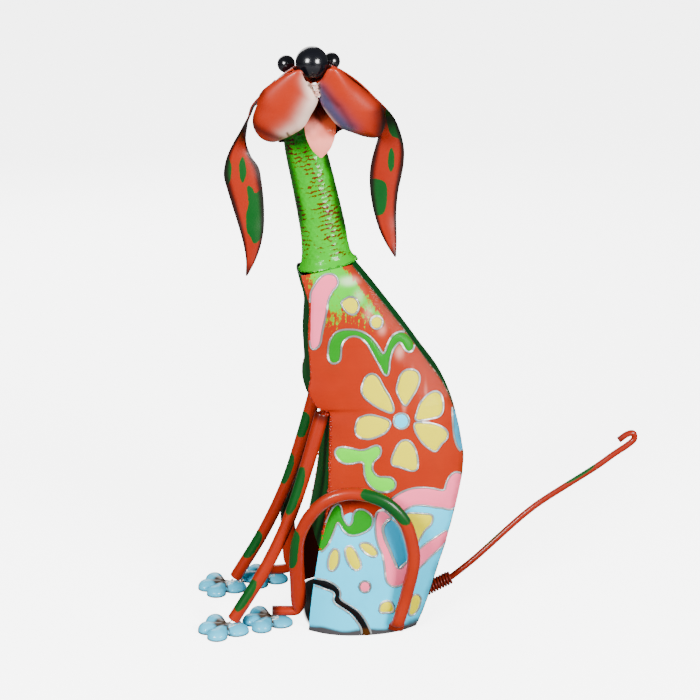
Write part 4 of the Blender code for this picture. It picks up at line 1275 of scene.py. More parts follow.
    def strip(self, name: str, table: Table, crown: Table, side: float, low: float, finish: Finish,
              node: str) -> bpy.types.Object:
        """A strip between the panels, crowned outward."""
        top = table[-1][0]
        heights = np.linspace(low, top, 220)
        across = np.linspace(-1, 1, 25)
        place, z = np.meshgrid(across, heights)
        half = reader(self.half_width)(z) - SHEET / 2
        swell = (1 - place**2) * reader(crown)(z) - 0.4 * place**8
        x = self.eased(table)(z) + side * swell
        points = np.stack([x, place * half, z], -1)
        points[..., 0] -= side * np.abs(waves(points[..., 1:], 60, SEED + 5)) * 0.35 * (1 - place**2)
        cloud = waves(points, 45, SEED + 6)
        # The strip is made darker along both edges and toward the floor.
        layers = {"airbrush_and_shade": np.maximum(0.5 * smoothstep(0.8, 1.0, np.abs(place) + 0.1 * cloud),
                                     0.8 * smoothstep(22, 1, z + 12 * cloud)),
                  "spot": np.full(z.shape, FAR)}
        piece = Pieces.sheet(name, points, layers, flip=side < 0)
        return Pieces.dress(piece, finish, Slot.STRIP, node)

    def build(self, lines: Lines) -> None:
        """Both panels, their lines, the strips and the welds along the seams."""
        self.panel("painted_panel_near", True, MOTIFS)
        self.panel("painted_panel_far", False, FAR_MOTIFS)
        silver = SilverLine("silver_line", roughness=0.3, coat=0.6, metallic=0.25)
        for name, motifs in (("silver_lines_near", MOTIFS), ("silver_lines_far", FAR_MOTIFS)):
            drawn = [m for m in motifs if m.name != "field"]
            lines.line(name, self.outline_runs(drawn, motifs is MOTIFS), 1.05, silver, Slot.PANEL)
        green = Spotted("strip_green", roughness=0.6, coat=0.0, specular=0.03, light=srgb(14, 72, 26),
                        deep=srgb(4, 22, 7), spot=srgb(14, 72, 26))
        self.strip("back_sheet", self.back, self.back_crown, 1.0, 0.0, green, "back_strip")
        self.strip("chest_sheet", self.front, self.chest_crown, -1.0, self.strip_foot, green, "chest_strip")
        self.seams(lines)

    def seams(self, lines: Lines) -> None:
        """The weld beads where the panels meet the strips."""
        pale = Weld("weld_pale", light=srgb(74, 40, 22), deep=srgb(18, 34, 12), bare=srgb(120, 110, 96),
                    share=0.56)
        for side, label in ((-1.0, "near"), (1.0, "far")):
            belly, chest, back = (
                np.stack([self.eased(edge)(z) + ahead, side * (reader(self.half_width)(z) + wider), z], 1)
                for edge, z, ahead, wider in (
                    (self.front, np.linspace(self.strip_foot, 207, 120), 1.2, 0.2),
                    (self.front, np.linspace(212.5, 336, 120), 0.5, 0.0),
                    (self.back, np.linspace(4, self.back[-1][0] - 1, 260), -0.3, -0.2)))
            lines.weld(f"belly_weld_{label}", [(belly, False)], 1.45, WELD_ORANGE, Slot.PANEL, spacing=1.7,
                       scatter=0.7)
            lines.weld(f"chest_weld_{label}", [(chest, False)], 0.75, WELD_ORANGE, Slot.PANEL, spacing=1.1,
                       scatter=0.3)
            lines.line(f"back_seam_{label}", [(back, False)], 0.62, pale, Slot.PANEL, 0.7)


@dataclass
class Neck:
    """The hammered neck tube and its flared collar."""

    line: Rows = (
        (-23.4, 0, 361), (-25.6, 0, 379), (-33.7, 0, 419), (-41.0, 0, 452), (-45.0, -2, 480))
    half_breadths: Sequence[Pair] = ((21.8, 20.5), (21.0, 19.3), (19.7, 17.0), (18.7, 15.6), (17.6, 14.6))
    collar_centre: float = -20.9
    collar: Pair = (26.8, 25.2)
    throat: Pair = (23.7, 21.8)
    collar_height: float = 7.0
    plane: tuple[Pair, Pair] = ((-47.4, 337.6), (-0.8, 346.7))
    cope: float = 14.0
    sides: int = 180
    dent: float = 0.45
    girth: float = 40.0 * math.pi
    mark: float = 5.2
    mark_rise: float = 5.2 * 0.78
    rubbed: Rows = (
        (-0.6, 451, 0.4, 17, 1.1), (-0.05, 440, 0.45, 15, 1.1), (0.15, 416, 0.6, 13, 1.3),
        (0.3, 384, 0.6, 34, 1.3), (0.5, 352, 0.6, 12, 1.1), (-0.85, 385, 0.2, 42, 0.9),
        (-0.45, 472, 0.4, 10, 1.2), (-0.1, 395, 0.3, 14, 0.7))
    scorched: Rows = ((-0.4, 477, 0.4, 8, 0.34),)

    def rings(self) -> Array:
        """The outer rings, rows by sides, from the collar's rim up."""
        (x0, z0), (x1, z1) = self.plane
        slope = math.atan2(z1 - z0, x1 - x0)
        turn = 2 * np.pi * np.arange(self.sides) / self.sides
        lean = np.array([math.cos(slope), 0, math.sin(slope)])
        lift = np.array([-math.sin(slope), 0, math.cos(slope)])
        base = np.array([self.collar_centre, 0, z0 + (self.collar_centre - x0) * math.tan(slope)])
        rows = [(base + lift * GAP, self.collar),
                (base + lift * 1.6, (self.collar[0] - 0.5, self.collar[1] - 0.5)),
                (base + lift * self.collar_height, self.throat)]
        rows += [(np.array(p, float), b) for p, b in zip(self.line, self.half_breadths)]
        stations = smooth_curve([(*p, *b) for p, b in rows], 150)
        return np.array([s[:3] + lean * (s[3] * np.cos(turn))[:, None]
                         + np.array([0, 1, 0]) * (s[4] * np.sin(turn))[:, None] for s in stations])

    def coped(self, rings: Array, hood: bpy.types.Object) -> Array:
        """Adds the rings that reach up to the inside of the CAD hood."""
        tree = BVHTree.FromObject(hood, bpy.context.evaluated_depsgraph_get())
        ends = DRAWING.place(rings[-1])
        steps = unit(rings[-1] - rings[-8])
        rooms = []
        for end, step in zip(ends, steps):
            hit = tree.ray_cast(Vector(end), Vector(step))[0]
            rooms.append((hit - Vector(end)).length * 1000 - 2.2 if hit else 0.0)
        room = np.maximum(0, np.array(rooms))
        room = np.minimum(room, room.min() + self.cope)[:, None]
        return np.concatenate([rings, [rings[-1] + steps * room * share for share in (0.34, 0.67, 1.0)]])

    def hammered(self, rings: Array) -> tuple[Array, Layers]:
        """Presses the hammer marks in, finds where the lime is rubbed off their edges, and where the tube's
        left and right sides get painted shade.
        """
        rows, sides = rings.shape[:2]
        length = run_length(rings[:, 0])
        around = np.linspace(0, self.girth, sides, endpoint=False)
        rng = np.random.default_rng(SEED)
        marks = []
        for row in range(int(length[-1] / self.mark_rise)):
            for column in range(int(self.girth / self.mark)):
                marks.append(((column + 0.5 * (row % 2)) * self.mark + rng.uniform(-1.3, 1.3),
                              (row + 0.5) * self.mark_rise + rng.uniform(-1.0, 1.0)))
        first = np.full((rows, sides), FAR)
        second = np.full((rows, sides), FAR)
        weight = np.zeros((rows, sides))
        height = np.zeros((rows, sides))
        other = np.zeros((rows, sides))
        for across, up in marks:
            gap = np.abs(around[None, :] - across % self.girth)
            gap = np.minimum(gap, self.girth - gap)
            distance = np.hypot(gap, (length[:, None] - up) * 1.25)
            nearest = distance < first
            other = np.where(nearest, height, np.where(distance < second, up, other))
            second = np.where(nearest, first, np.minimum(second, distance))
            height = np.where(nearest, up, height)
            weight = np.where(nearest, rng.uniform(0.35, 1.5), weight)
            first = np.minimum(first, distance)
        level = np.clip(np.abs(height - other) / self.mark_rise, 0, 1)
        ridge = np.clip(1 - (second - first) / 3.2, 0, 1) * level * weight
        calm = smoothstep(2, 10, length)[:, None] * np.ones(sides)
        push = -self.dent * np.clip(1 - first / (self.mark * 0.62), 0, 1) ** 0.8 * calm
        centre = rings.mean(axis=1, keepdims=True)
        outward = unit(rings - centre)
        side, z = outward[..., 0], rings[..., 2]
        gate = 0.5 + 0.5 * waves(rings, 40, SEED + 1)
        front = patches(side, z, self.rubbed)
        gate = np.where(outward[..., 1] < 0.1, front, np.clip(gate, 0, 1))
        worn = 0.26 + 0.62 * ridge * np.clip(gate * 1.3, 0, 1.1) + waves(rings, 30, SEED + 1) * 0.05
        worn += patches(side, z, self.scorched)
        worn *= smoothstep(1, 8, length)[:, None]
        # Painted shade: the tube darkened down its left and right sides, where it turns away from the lights.
        airbrush_and_shade = np.maximum(0.95 * smoothstep(-0.6, -0.96, side) * smoothstep(16, 60, length)[:, None],
                          0.95 * smoothstep(0.55, 0.95, side) * smoothstep(14, 40, length)[:, None])
        return rings + outward * push[..., None], {"worn": worn, "airbrush_and_shade": airbrush_and_shade * 0.9}

    def build(self, lines: Lines) -> None:
        """The neck in place of its CAD node, and the collar's weld."""
        rings = self.coped(self.rings(), bpy.data.objects["head_shell"])
        outer, layers = self.hammered(rings)
        piece = Pieces.sheet("hammered_neck", outer, layers, closed=True)
        finish = HammeredLime("hammered_lime", roughness=0.28, coat=0.12, skin=0.3)
        Pieces.dress(piece, finish, Slot.NECK, "neck")
        lime = Weld("weld_lime", light=srgb(26, 142, 8), deep=srgb(13, 84, 6), bare=srgb(110, 200, 60))
        rim = rings[0][::3].copy()
        rim[:, 2] -= 0.1
        lines.weld("collar_weld", [(rim, True)], 0.95, lime, Slot.NECK, spacing=1.2, scatter=0.35)
        drips = []
        for place, drop in ((0.755, 3.2), (0.80, 1.4), (0.985, 2.0), (0.52, 2.2)):
            start = rings[0][int(place * self.sides) % self.sides]
            drips.append((start + np.array([[0, 0, 0.8], [0.4, 0, -drop * 0.5], [0.9, 0, -drop]]), False))
        lines.weld("collar_drips", drips, 1.3, lime, Slot.NECK, spacing=0.8, scatter=0.2, seed=SEED + 2)


@dataclass
class Head:
    """The hood, the jowls, the balls, the tongue and the ears."""

    axis: Sequence[float] = (-38.8, -36.9, 462.0)
    pitch: float = math.radians(18.8)
    sweep: float = math.radians(118)
    ridge: Table = ((0.0, 78.5), (0.24, 67.8), (0.55, 65.0), (0.88, 63.5), (1.0, 62.0))
    side: Table = ((0.0, 36.0), (0.33, 32.0), (0.78, 26.0), (1.0, 38.0))
    half_right: Table = ((0.0, 48.5), (0.44, 45.0), (0.85, 32.0), (1.0, 26.0))
    half_left: Table = ((0.0, 61.0), (0.44, 55.0), (0.7, 39.0), (0.85, 28.0), (1.0, 21.5))
    peak: Table = ((0.0, 1.25), (0.44, 0.95), (0.83, 1.3), (1.0, 2.6))
    jowl_right: Sequence[Pair] = (
        (-3.0, 62.0), (-13.8, 75.0), (-42.0, 54.0), (-48.6, 36.0), (-51.5, 25.5), (-50.5, 15.3),
        (-44.4, 6.0), (-35.0, 2.1), (-24.8, 5.0), (-8.1, 15.3), (-0.3, 28.6), (5.6, 45.0))
    jowl_left: Sequence[Pair] = (
        (4.2, 60.0), (16.9, 76.7), (38.0, 58.5), (58.4, 39.4), (63.4, 29.4), (65.1, 15.3), (59.9, 5.3),
        (49.6, 5.5), (38.1, 9.6), (23.1, 17.4), (9.1, 36.5), (5.8, 48.0))
    dome: float = 15.0
    nose_dome: float = 8.5
    dome_power: float = 2.2
    nose_radius: float = 14.1
    seat_room: float = 3.4
    seat_ledge: float = 6.0

    def up(self, share: Array) -> Array:
        """The ribs' own up directions."""
        turn = -self.pitch + self.sweep * np.asarray(share, float)
        return np.stack([np.zeros_like(turn), np.sin(turn), np.cos(turn)], -1)

    def face(self, flat: Array, height: Array) -> Array:
        """Points at (across, up) in the face's plane, raised out of it by height."""
        out = np.array([0, -math.cos(self.pitch), -math.sin(self.pitch)])
        return (np.array(self.axis) + flat[..., :1] * np.array([1.0, 0, 0])
                + self.up(np.array(0.0)) * flat[..., 1:] + out * height[..., None])

    def hood_points(self, across: Array, share: Array) -> Array:
        """Points of the hood's outer face."""
        half = np.where(across < 0, reader(self.half_right)(share), reader(self.half_left)(share))
        side, ridge = reader(self.side)(share), reader(self.ridge)(share)
        power = 1 + reader(self.peak)(share) * 0.6
        rise = np.maximum(0.0, 1 - np.abs(across) ** power) ** 0.9
        reach = side + (ridge - side) * rise
        points = np.array(self.axis) + self.up(share) * reach[..., None]
        points[..., 0] += across * half
        return points

    def seated(self, points: Array, up: Array) -> Array:
        """Sinks hood points until the nose ball sits clear above them."""
        away = points - Drawing.NOSE
        reach = self.nose_radius + self.seat_room
        rise = np.sum(away * up, -1)
        aside = np.linalg.norm(away - up * rise[..., None], axis=-1)
        floor = -np.sqrt(np.maximum(0.0, reach**2 - aside**2))
        sink = np.where((aside < reach + self.seat_ledge) & (rise > floor), floor - rise, 0.0)
        return points + up * sink[..., None]

    def hood(self) -> None:
        """The skull's sheet in place of its CAD node."""
        share, across = np.meshgrid(np.linspace(0, 1, 110), np.linspace(-1, 1, 121), indexing="ij")
        points = self.hood_points(across, share)
        points[0, :, 1] += SHEET + GAP
        points[1:, :, 1] += (SHEET + GAP) * np.clip(1 - 12 * share[1:], 0, 1)
        points = self.seated(points, self.up(share))
        points -= self.up(share) * (np.abs(waves(points, 45, SEED + 8)) * 0.3)[..., None]
        edge = smoothstep(0.86, 1.0, np.abs(across))
        # The hood is made darker toward its edges and its back end.
        layers = {"spot": np.full(share.shape, FAR),
                  "airbrush_and_shade": np.maximum(0.5 * edge, 0.85 * smoothstep(0.88, 1.0, share))}
        for place, level, wide in ((0.45, 0.62, 7.0), (-0.5, 0.75, 6.0), (0.1, 0.5, 5.0), (-0.15, 0.9, 8.0)):
            spot = self.hood_points(np.array(place), np.array(level))
            layers["spot"] = np.minimum(layers["spot"], np.linalg.norm(
                (points - spot) * np.array([1.0, 0.7, 0.55]), axis=-1) - wide)
        piece = Pieces.sheet("hood_sheet", points, layers)
        Pieces.dress(piece, Spotted("hood_orange"), Slot.ORANGE, "head_shell")

    def jowl(self, name: str, outline: Sequence[Pair], node: str, right: bool) -> None:
        """One domed jowl, with its airbrushed tones."""
        loop = smooth_loop(outline, 168)
        middle = loop.mean(axis=0)
        top = loop[:, 1].max()
        share = np.cos(np.pi / 2 * np.linspace(0, 0.985, 56))[:, None]
        swell = (1 - share**self.dome_power) ** (1 / self.dome_power)
        flat = middle + (loop[None] - middle) * share[..., None]
        near_nose = np.clip((loop[:, 1] - middle[1]) / (top - middle[1]), 0, None)[None] ** 2
        height = self.dome * swell + self.nose_dome * near_nose * share * (1 - swell)
        points = self.face(flat, height)
        away = points - Drawing.NOSE
        reach = self.nose_radius + self.seat_room + SHEET
        far = np.linalg.norm(away, axis=-1, keepdims=True)
        points = np.where(far < reach, Drawing.NOSE + away / far * reach, points)
        piece = Pieces.sheet(name, points, self.sprayed(flat, right), closed=True, flip=not right)
        self.close_pole(piece, points)
        finish = Muzzle("muzzle", roughness=0.4, coat=0.1, skin=0.05, specular=0.2)
        Pieces.dress(piece, finish, Slot.ORANGE, node)

    @staticmethod
    def close_pole(piece: bpy.types.Object, points: Array) -> None:
        """Fills the small ring left at the dome's top, outside and inside."""
        work = bmesh.new()
        work.from_mesh(piece.data)
        centre = Vector(DRAWING.place(points[-1].mean(axis=0)))
        reach = max((Vector(DRAWING.place(p)) - centre).length for p in points[-1]) * 1.6 + SHEET / 1000
        doomed = [f for f in work.faces if (f.calc_center_median() - centre).length < reach
                  and abs(f.normal.y) < 0.6 and len(f.verts) == 4]
        bmesh.ops.delete(work, geom=doomed, context="FACES_ONLY")
        open_edges = [e for e in work.edges if e.is_boundary]
        bmesh.ops.holes_fill(work, edges=open_edges, sides=0)
        bmesh.ops.recalc_face_normals(work, faces=work.faces)
        work.to_mesh(piece.data)
        work.free()

    @staticmethod
    def sprayed(flat: Array, right: bool) -> Layers:
        """The tones over one jowl, from strokes in the face's plane: airbrushed white, and painted shade on
        the flanks and ends.
        """
        tones: Layers = {key: np.zeros(flat.shape[:2]) for key in ("white", "white_in_shade", "maroon_shade", "airbrush_and_shade")}
        if right:
            # White is airbrushed paint; the maroon and black strokes are painted shade on the lower flank and
            # the far edge.
            strokes = (("white", (-4, 67), (1, 48), 7.0, 0.82), ("white", (2, 43), (-8, 22), 12.0, 0.82),
                       ("white", (-9, 26), (-24, 13), 10.5, 0.6), ("maroon_shade", (-48, 19), (-28, 10), 6.5, 0.8),
                       ("maroon_shade", (-22, 16), (-19, 8), 1.5, 0.9), ("airbrush_and_shade", (-54, 30), (-53, 12), 4.4, 0.9),
                       ("airbrush_and_shade", (-46, 5), (-26, 1), 2.6, 0.7), ("airbrush_and_shade", (-52, 42), (-44, 53), 3.4, 0.7))
        else:
            # The slate strokes are the white in painted shade; the maroon and black strokes are painted shade
            # at the lower right end.
            strokes = (("white_in_shade", (5, 54), (14, 40), 8.5, 1.05), ("white_in_shade", (14, 38), (30, 19), 11.0, 0.95),
                       ("white", (9, 33), (19, 20), 3.6, 0.85), ("white", (3, 62), (4, 50), 2.2, 0.9),
                       ("maroon_shade", (9, 58), (22, 43), 4.5, 0.6), ("maroon_shade", (23, 43), (35, 22), 4.5, 0.5),
                       ("airbrush_and_shade", (65, 34), (65, 10), 7.0, 1.1), ("airbrush_and_shade", (62, 5), (36, 6), 5.0, 1.0),
                       ("maroon_shade", (57, 34), (59, 12), 8.0, 0.6), ("maroon_shade", (36, 12), (54, 12), 5.0, 0.5),
                       ("airbrush_and_shade", (44, 55), (62, 38), 2.0, 0.6))
        for tone, start, end, wide, most in strokes:
            a, b = np.array(start, float), np.array(end, float)
            place = np.clip(((flat - a) @ (b - a)) / ((b - a) @ (b - a)), 0, 1)
            distance = np.linalg.norm(flat - a - place[..., None] * (b - a), axis=-1)
            tones[tone] = np.maximum(tones[tone], most * np.exp(-(distance / wide) ** 1.6))
        return tones

    def muzzle_weld(self, lines: Lines) -> None:
        """The bright weld between the jowls, under the nose."""
        places = np.array(((0.6, 63.0, 11.0), (1.4, 59.0, 9.5), (3.2, 54.5, 8.0), (5.2, 49.0, 6.5)))
        path = self.face(places[:, :2], places[:, 2])
        finish = Weld("weld_muzzle", light=srgb(226, 176, 160), deep=srgb(110, 26, 30),
                      bare=srgb(246, 238, 232), share=0.5)
        lines.weld("muzzle_weld", [(path, False)], 2.1, finish, Slot.ORANGE, spacing=1.3, scatter=0.8)

    def balls(self) -> None:
        """The glossy nose and eyes in place of their CAD nodes."""
        gloss = Plain("ball_black", roughness=0.22, coat=0.0, skin=0.02, specular=0.8, light=srgb(9, 10, 17),
                      deep=srgb(4, 4, 7))
        for node in ("nose_ball", "eye_left", "eye_right"):
            low, high = (np.array(corner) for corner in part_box(node))
            centre, radius = (low + high) / 2, (high - low).min() / 2
            turn, fall = np.meshgrid(np.linspace(0, 2 * np.pi, 96, endpoint=False),
                                     np.linspace(0, np.pi, 49)[1:-1])
            rings = np.stack([np.sin(fall) * np.cos(turn), np.sin(fall) * np.sin(turn), np.cos(fall)], -1)
            rows, sides = rings.shape[:2]
            points = np.vstack([rings.reshape(-1, 3), [[0, 0, 1]], [[0, 0, -1]]]) * radius + centre
            piece = Pieces.mesh(node + "_gloss", points, capped(rows, sides), {}, metres=True)
            Pieces.dress(piece, gloss, Slot.BLACK, node)

    @staticmethod
    def leaf(stations: Rows, columns: int, rows: int,
             finer: int) -> tuple[Array, Array, Array]:
        """A bowed ribbon.

        Args:
            stations: centre, half width, bow, and the direction of the width.
            columns: how many faces lie across it.
            rows: how many stations the metal is bent at.
            finer: how many rows each bend is divided into.

        Returns:
            The middle grid, its front direction, and each point's place across it.
        """
        lines = smooth_curve(stations, rows + 1)
        along = unit(np.gradient(lines[:, :3], axis=0))
        wide = lines[:, 5:8]
        wide = unit(wide - along * np.sum(wide * along, axis=1, keepdims=True))
        front = np.cross(wide, along)
        place = np.linspace(-1, 1, columns + 1)
        half, bow = lines[:, 3:4], lines[:, 4:5]
        grid = (lines[:, None, :3] + wide[:, None] * (place[None] * half)[..., None]
                + front[:, None] * (bow * half * (1 - place**2)[None])[..., None])
        return finer_rows(grid, finer), unit(finer_rows(front, finer)), np.tile(place, (rows * finer + 1, 1))

    def tongue(self) -> None:
        """The tongue, with its middle groove."""
        line = ((-31.0, -18.5, 494, 7.0), (-30.5, -29.0, 484, 12.5), (-30.0, -34.0, 472, 13.8),
                (-29.6, -34.5, 461, 11.0), (-29.4, -33.5, 453, 6.6), (-29.4, -32.5, 447.6, 1.2))
        grid, front, place = self.leaf([(*p, -0.19, 1.0, 0.0, 0.0) for p in line], 36, 8, 10)
        groove = 0.9 * np.exp(-(place / 0.16) ** 2) * np.linspace(1.1, 0.1, 81)[:, None]
        offset = -front[:, None] * SHEET / 2
        outer = grid + offset + front[:, None] * groove[..., None]
        depth = np.linspace(1.6, -0.9, 81)[:, None] + waves(grid, 14, SEED) * 0.25
        layers = {"root": np.clip((depth + 0.1 + 0.3 * place) * 1.5, 0, 1.1),
                  "airbrush_and_shade": np.clip(0.7 * smoothstep(0.86, 1.0, np.abs(place)) + 0.6 * (depth - 1.1), 0, 1)}
        piece = Pieces.sheet("tongue_sheet", outer, layers, flip=True)
        finish = Tongue("tongue_pink", roughness=0.5, coat=0.04, specular=0.1)
        Pieces.dress(piece, finish, Slot.PINK, "tongue")


@dataclass
class Ears:
    """The hanging ears, rooted on the hood."""

    head: Head
    cup: float = 0.16
    rib: float = 0.3
    root_half: float = 9.0
    root_bow: float = 0.08
    right: Rows = (
        (-89.0, -19.5, 494.0, 9.5, 88), (-93.0, -17.5, 482.0, 8.0, 84), (-97.5, -15, 469.0, 5.5, 60),
        (-101.8, -12, 452.0, 8.6, 12), (-99.8, -10, 434.0, 16.0, 4), (-95.5, -9, 412.0, 15.4, 0),
        (-92.3, -9, 392.0, 13.2, 0), (-90.6, -11, 371.0, 9.6, 4), (-92.5, -13, 352.0, 4.8, 8),
        (-96.6, -15, 336.5, 0.8, 10))
    left: Rows = (
        (27.0, -21, 487.0, 8.0, -50), (31.2, -18, 477.5, 8.6, -28), (34.5, -14, 463.0, 10.6, -8),
        (34.2, -12, 447.0, 14.2, 0), (32.0, -10, 431.0, 15.0, 0), (30.4, -9, 413.0, 13.2, 0),
        (31.5, -9, 392.0, 10.4, 0), (34.8, -11, 372.0, 7.2, 4), (38.4, -13, 358.5, 3.6, 8),
        (40.3, -14, 350.6, 0.8, 10))
    roots: dict[str, Triple] = field(default_factory=lambda: {
        "ear_right": (-0.62, -0.80, -0.97), "ear_left": (0.64, 0.81, 0.97)})
    spots: dict[str, Sequence[Sequence[Pair]]] = field(default_factory=lambda: {
        "ear_right": (
            ((-98.2, 446.2), (-95.5, 439.0), (-95.3, 430.0), (-98.6, 422.0), (-101.3, 430.0),
             (-101.2, 440.0)),
            ((-94.6, 418.7), (-90.1, 417.7), (-87.4, 412.2), (-81.1, 414.8), (-76.0, 401.0), (-78.0, 385.0),
             (-84.0, 369.0), (-89.5, 365.9), (-92.6, 372.5), (-95.7, 378.1), (-95.9, 393.0), (-93.9, 402.2)),
            ((-122.0, 447.0), (-112.9, 449.2), (-109.0, 440.9), (-108.3, 431.8), (-111.0, 421.8),
             (-118.0, 419.0), (-124.0, 434.0))),
        "ear_left": (
            ((29.3, 488.9), (35.7, 487.9), (45.9, 476.9), (53.5, 458.5), (47.5, 453.0), (42.2, 460.5),
             (35.8, 463.3), (32.1, 473.3)),
            ((35.9, 452.4), (38.6, 446.0), (38.6, 435.0), (36.0, 429.5), (33.3, 436.0), (33.3, 446.0)),
            ((12.0, 421.0), (19.1, 423.3), (25.5, 422.7), (31.0, 419.8), (32.8, 412.4), (32.5, 400.4),
             (30.2, 392.0), (24.7, 388.9), (20.1, 391.3), (14.4, 403.5)))})

    def build(self) -> None:
        """Both ears."""
        for node, stations in (("ear_right", self.right), ("ear_left", self.left)):
            side = 1 if node == "ear_right" else -1
            root = []
            for across in self.roots[node]:
                seat, back, beside = (self.head.hood_points(np.array(across + a), np.array(self.rib + s))
                                      for a, s in ((0, 0), (0, 0.01), (0.01, 0)))
                normal = unit(np.cross(beside - seat, back - seat))
                root.append((*(seat + normal * (2 * GAP + SHEET / 2)), self.root_half, self.root_bow,
                             *(unit(back - seat) * side)))
            leaf = [(*place, half, -self.cup, math.cos(math.radians(turn)), math.sin(math.radians(turn)), 0.0)
                    for *place, half, turn in stations]
            grid, front, place = Head.leaf([*root, *leaf], 44, 14, 15)
            grid = grid - front[:, None] * (waves(grid, 24, SEED + side) * 0.3)[..., None]
            flat = grid[..., [0, 2]].reshape(-1, 2)
            spot = np.full(len(flat), FAR)
            for outline in self.spots[node]:
                spot = np.minimum(spot, loop_distance(flat, smooth_loop(outline, 60)))
            spot = spot.reshape(place.shape)
            along = np.linspace(0, 1, len(grid))[:, None]
            # The ear is made darker along both edges, more along one of them, and at the tip.
            rim = smoothstep(0.45, 0.98, np.abs(place))
            airbrush_and_shade = 1.1 * rim * smoothstep(0.12, 0.3, along)
            airbrush_and_shade = np.maximum(airbrush_and_shade, 0.8 * smoothstep(0.55, 1.0, -side * place) * smoothstep(0.3, 0.5, along))
            airbrush_and_shade = np.maximum(airbrush_and_shade, 0.9 * smoothstep(0.9, 1.0, along))
            # Painted shade: a dark band across the ear where it twists and its inner face turns edge-on.
            airbrush_and_shade = np.maximum(airbrush_and_shade, 0.8 * np.exp(-((along - 0.27) / 0.06) ** 2) * np.ones_like(place))
            outer = grid + front[:, None] * -SHEET / 2
            piece = Pieces.sheet(node + "_leaf", outer, {"spot": spot, "airbrush_and_shade": airbrush_and_shade}, flip=True)
            Pieces.dress(piece, Spotted("ear_orange", light=srgb(146, 32, 8), deep=srgb(116, 20, 6),
                                        wobble=1.2), Slot.ORANGE, node)


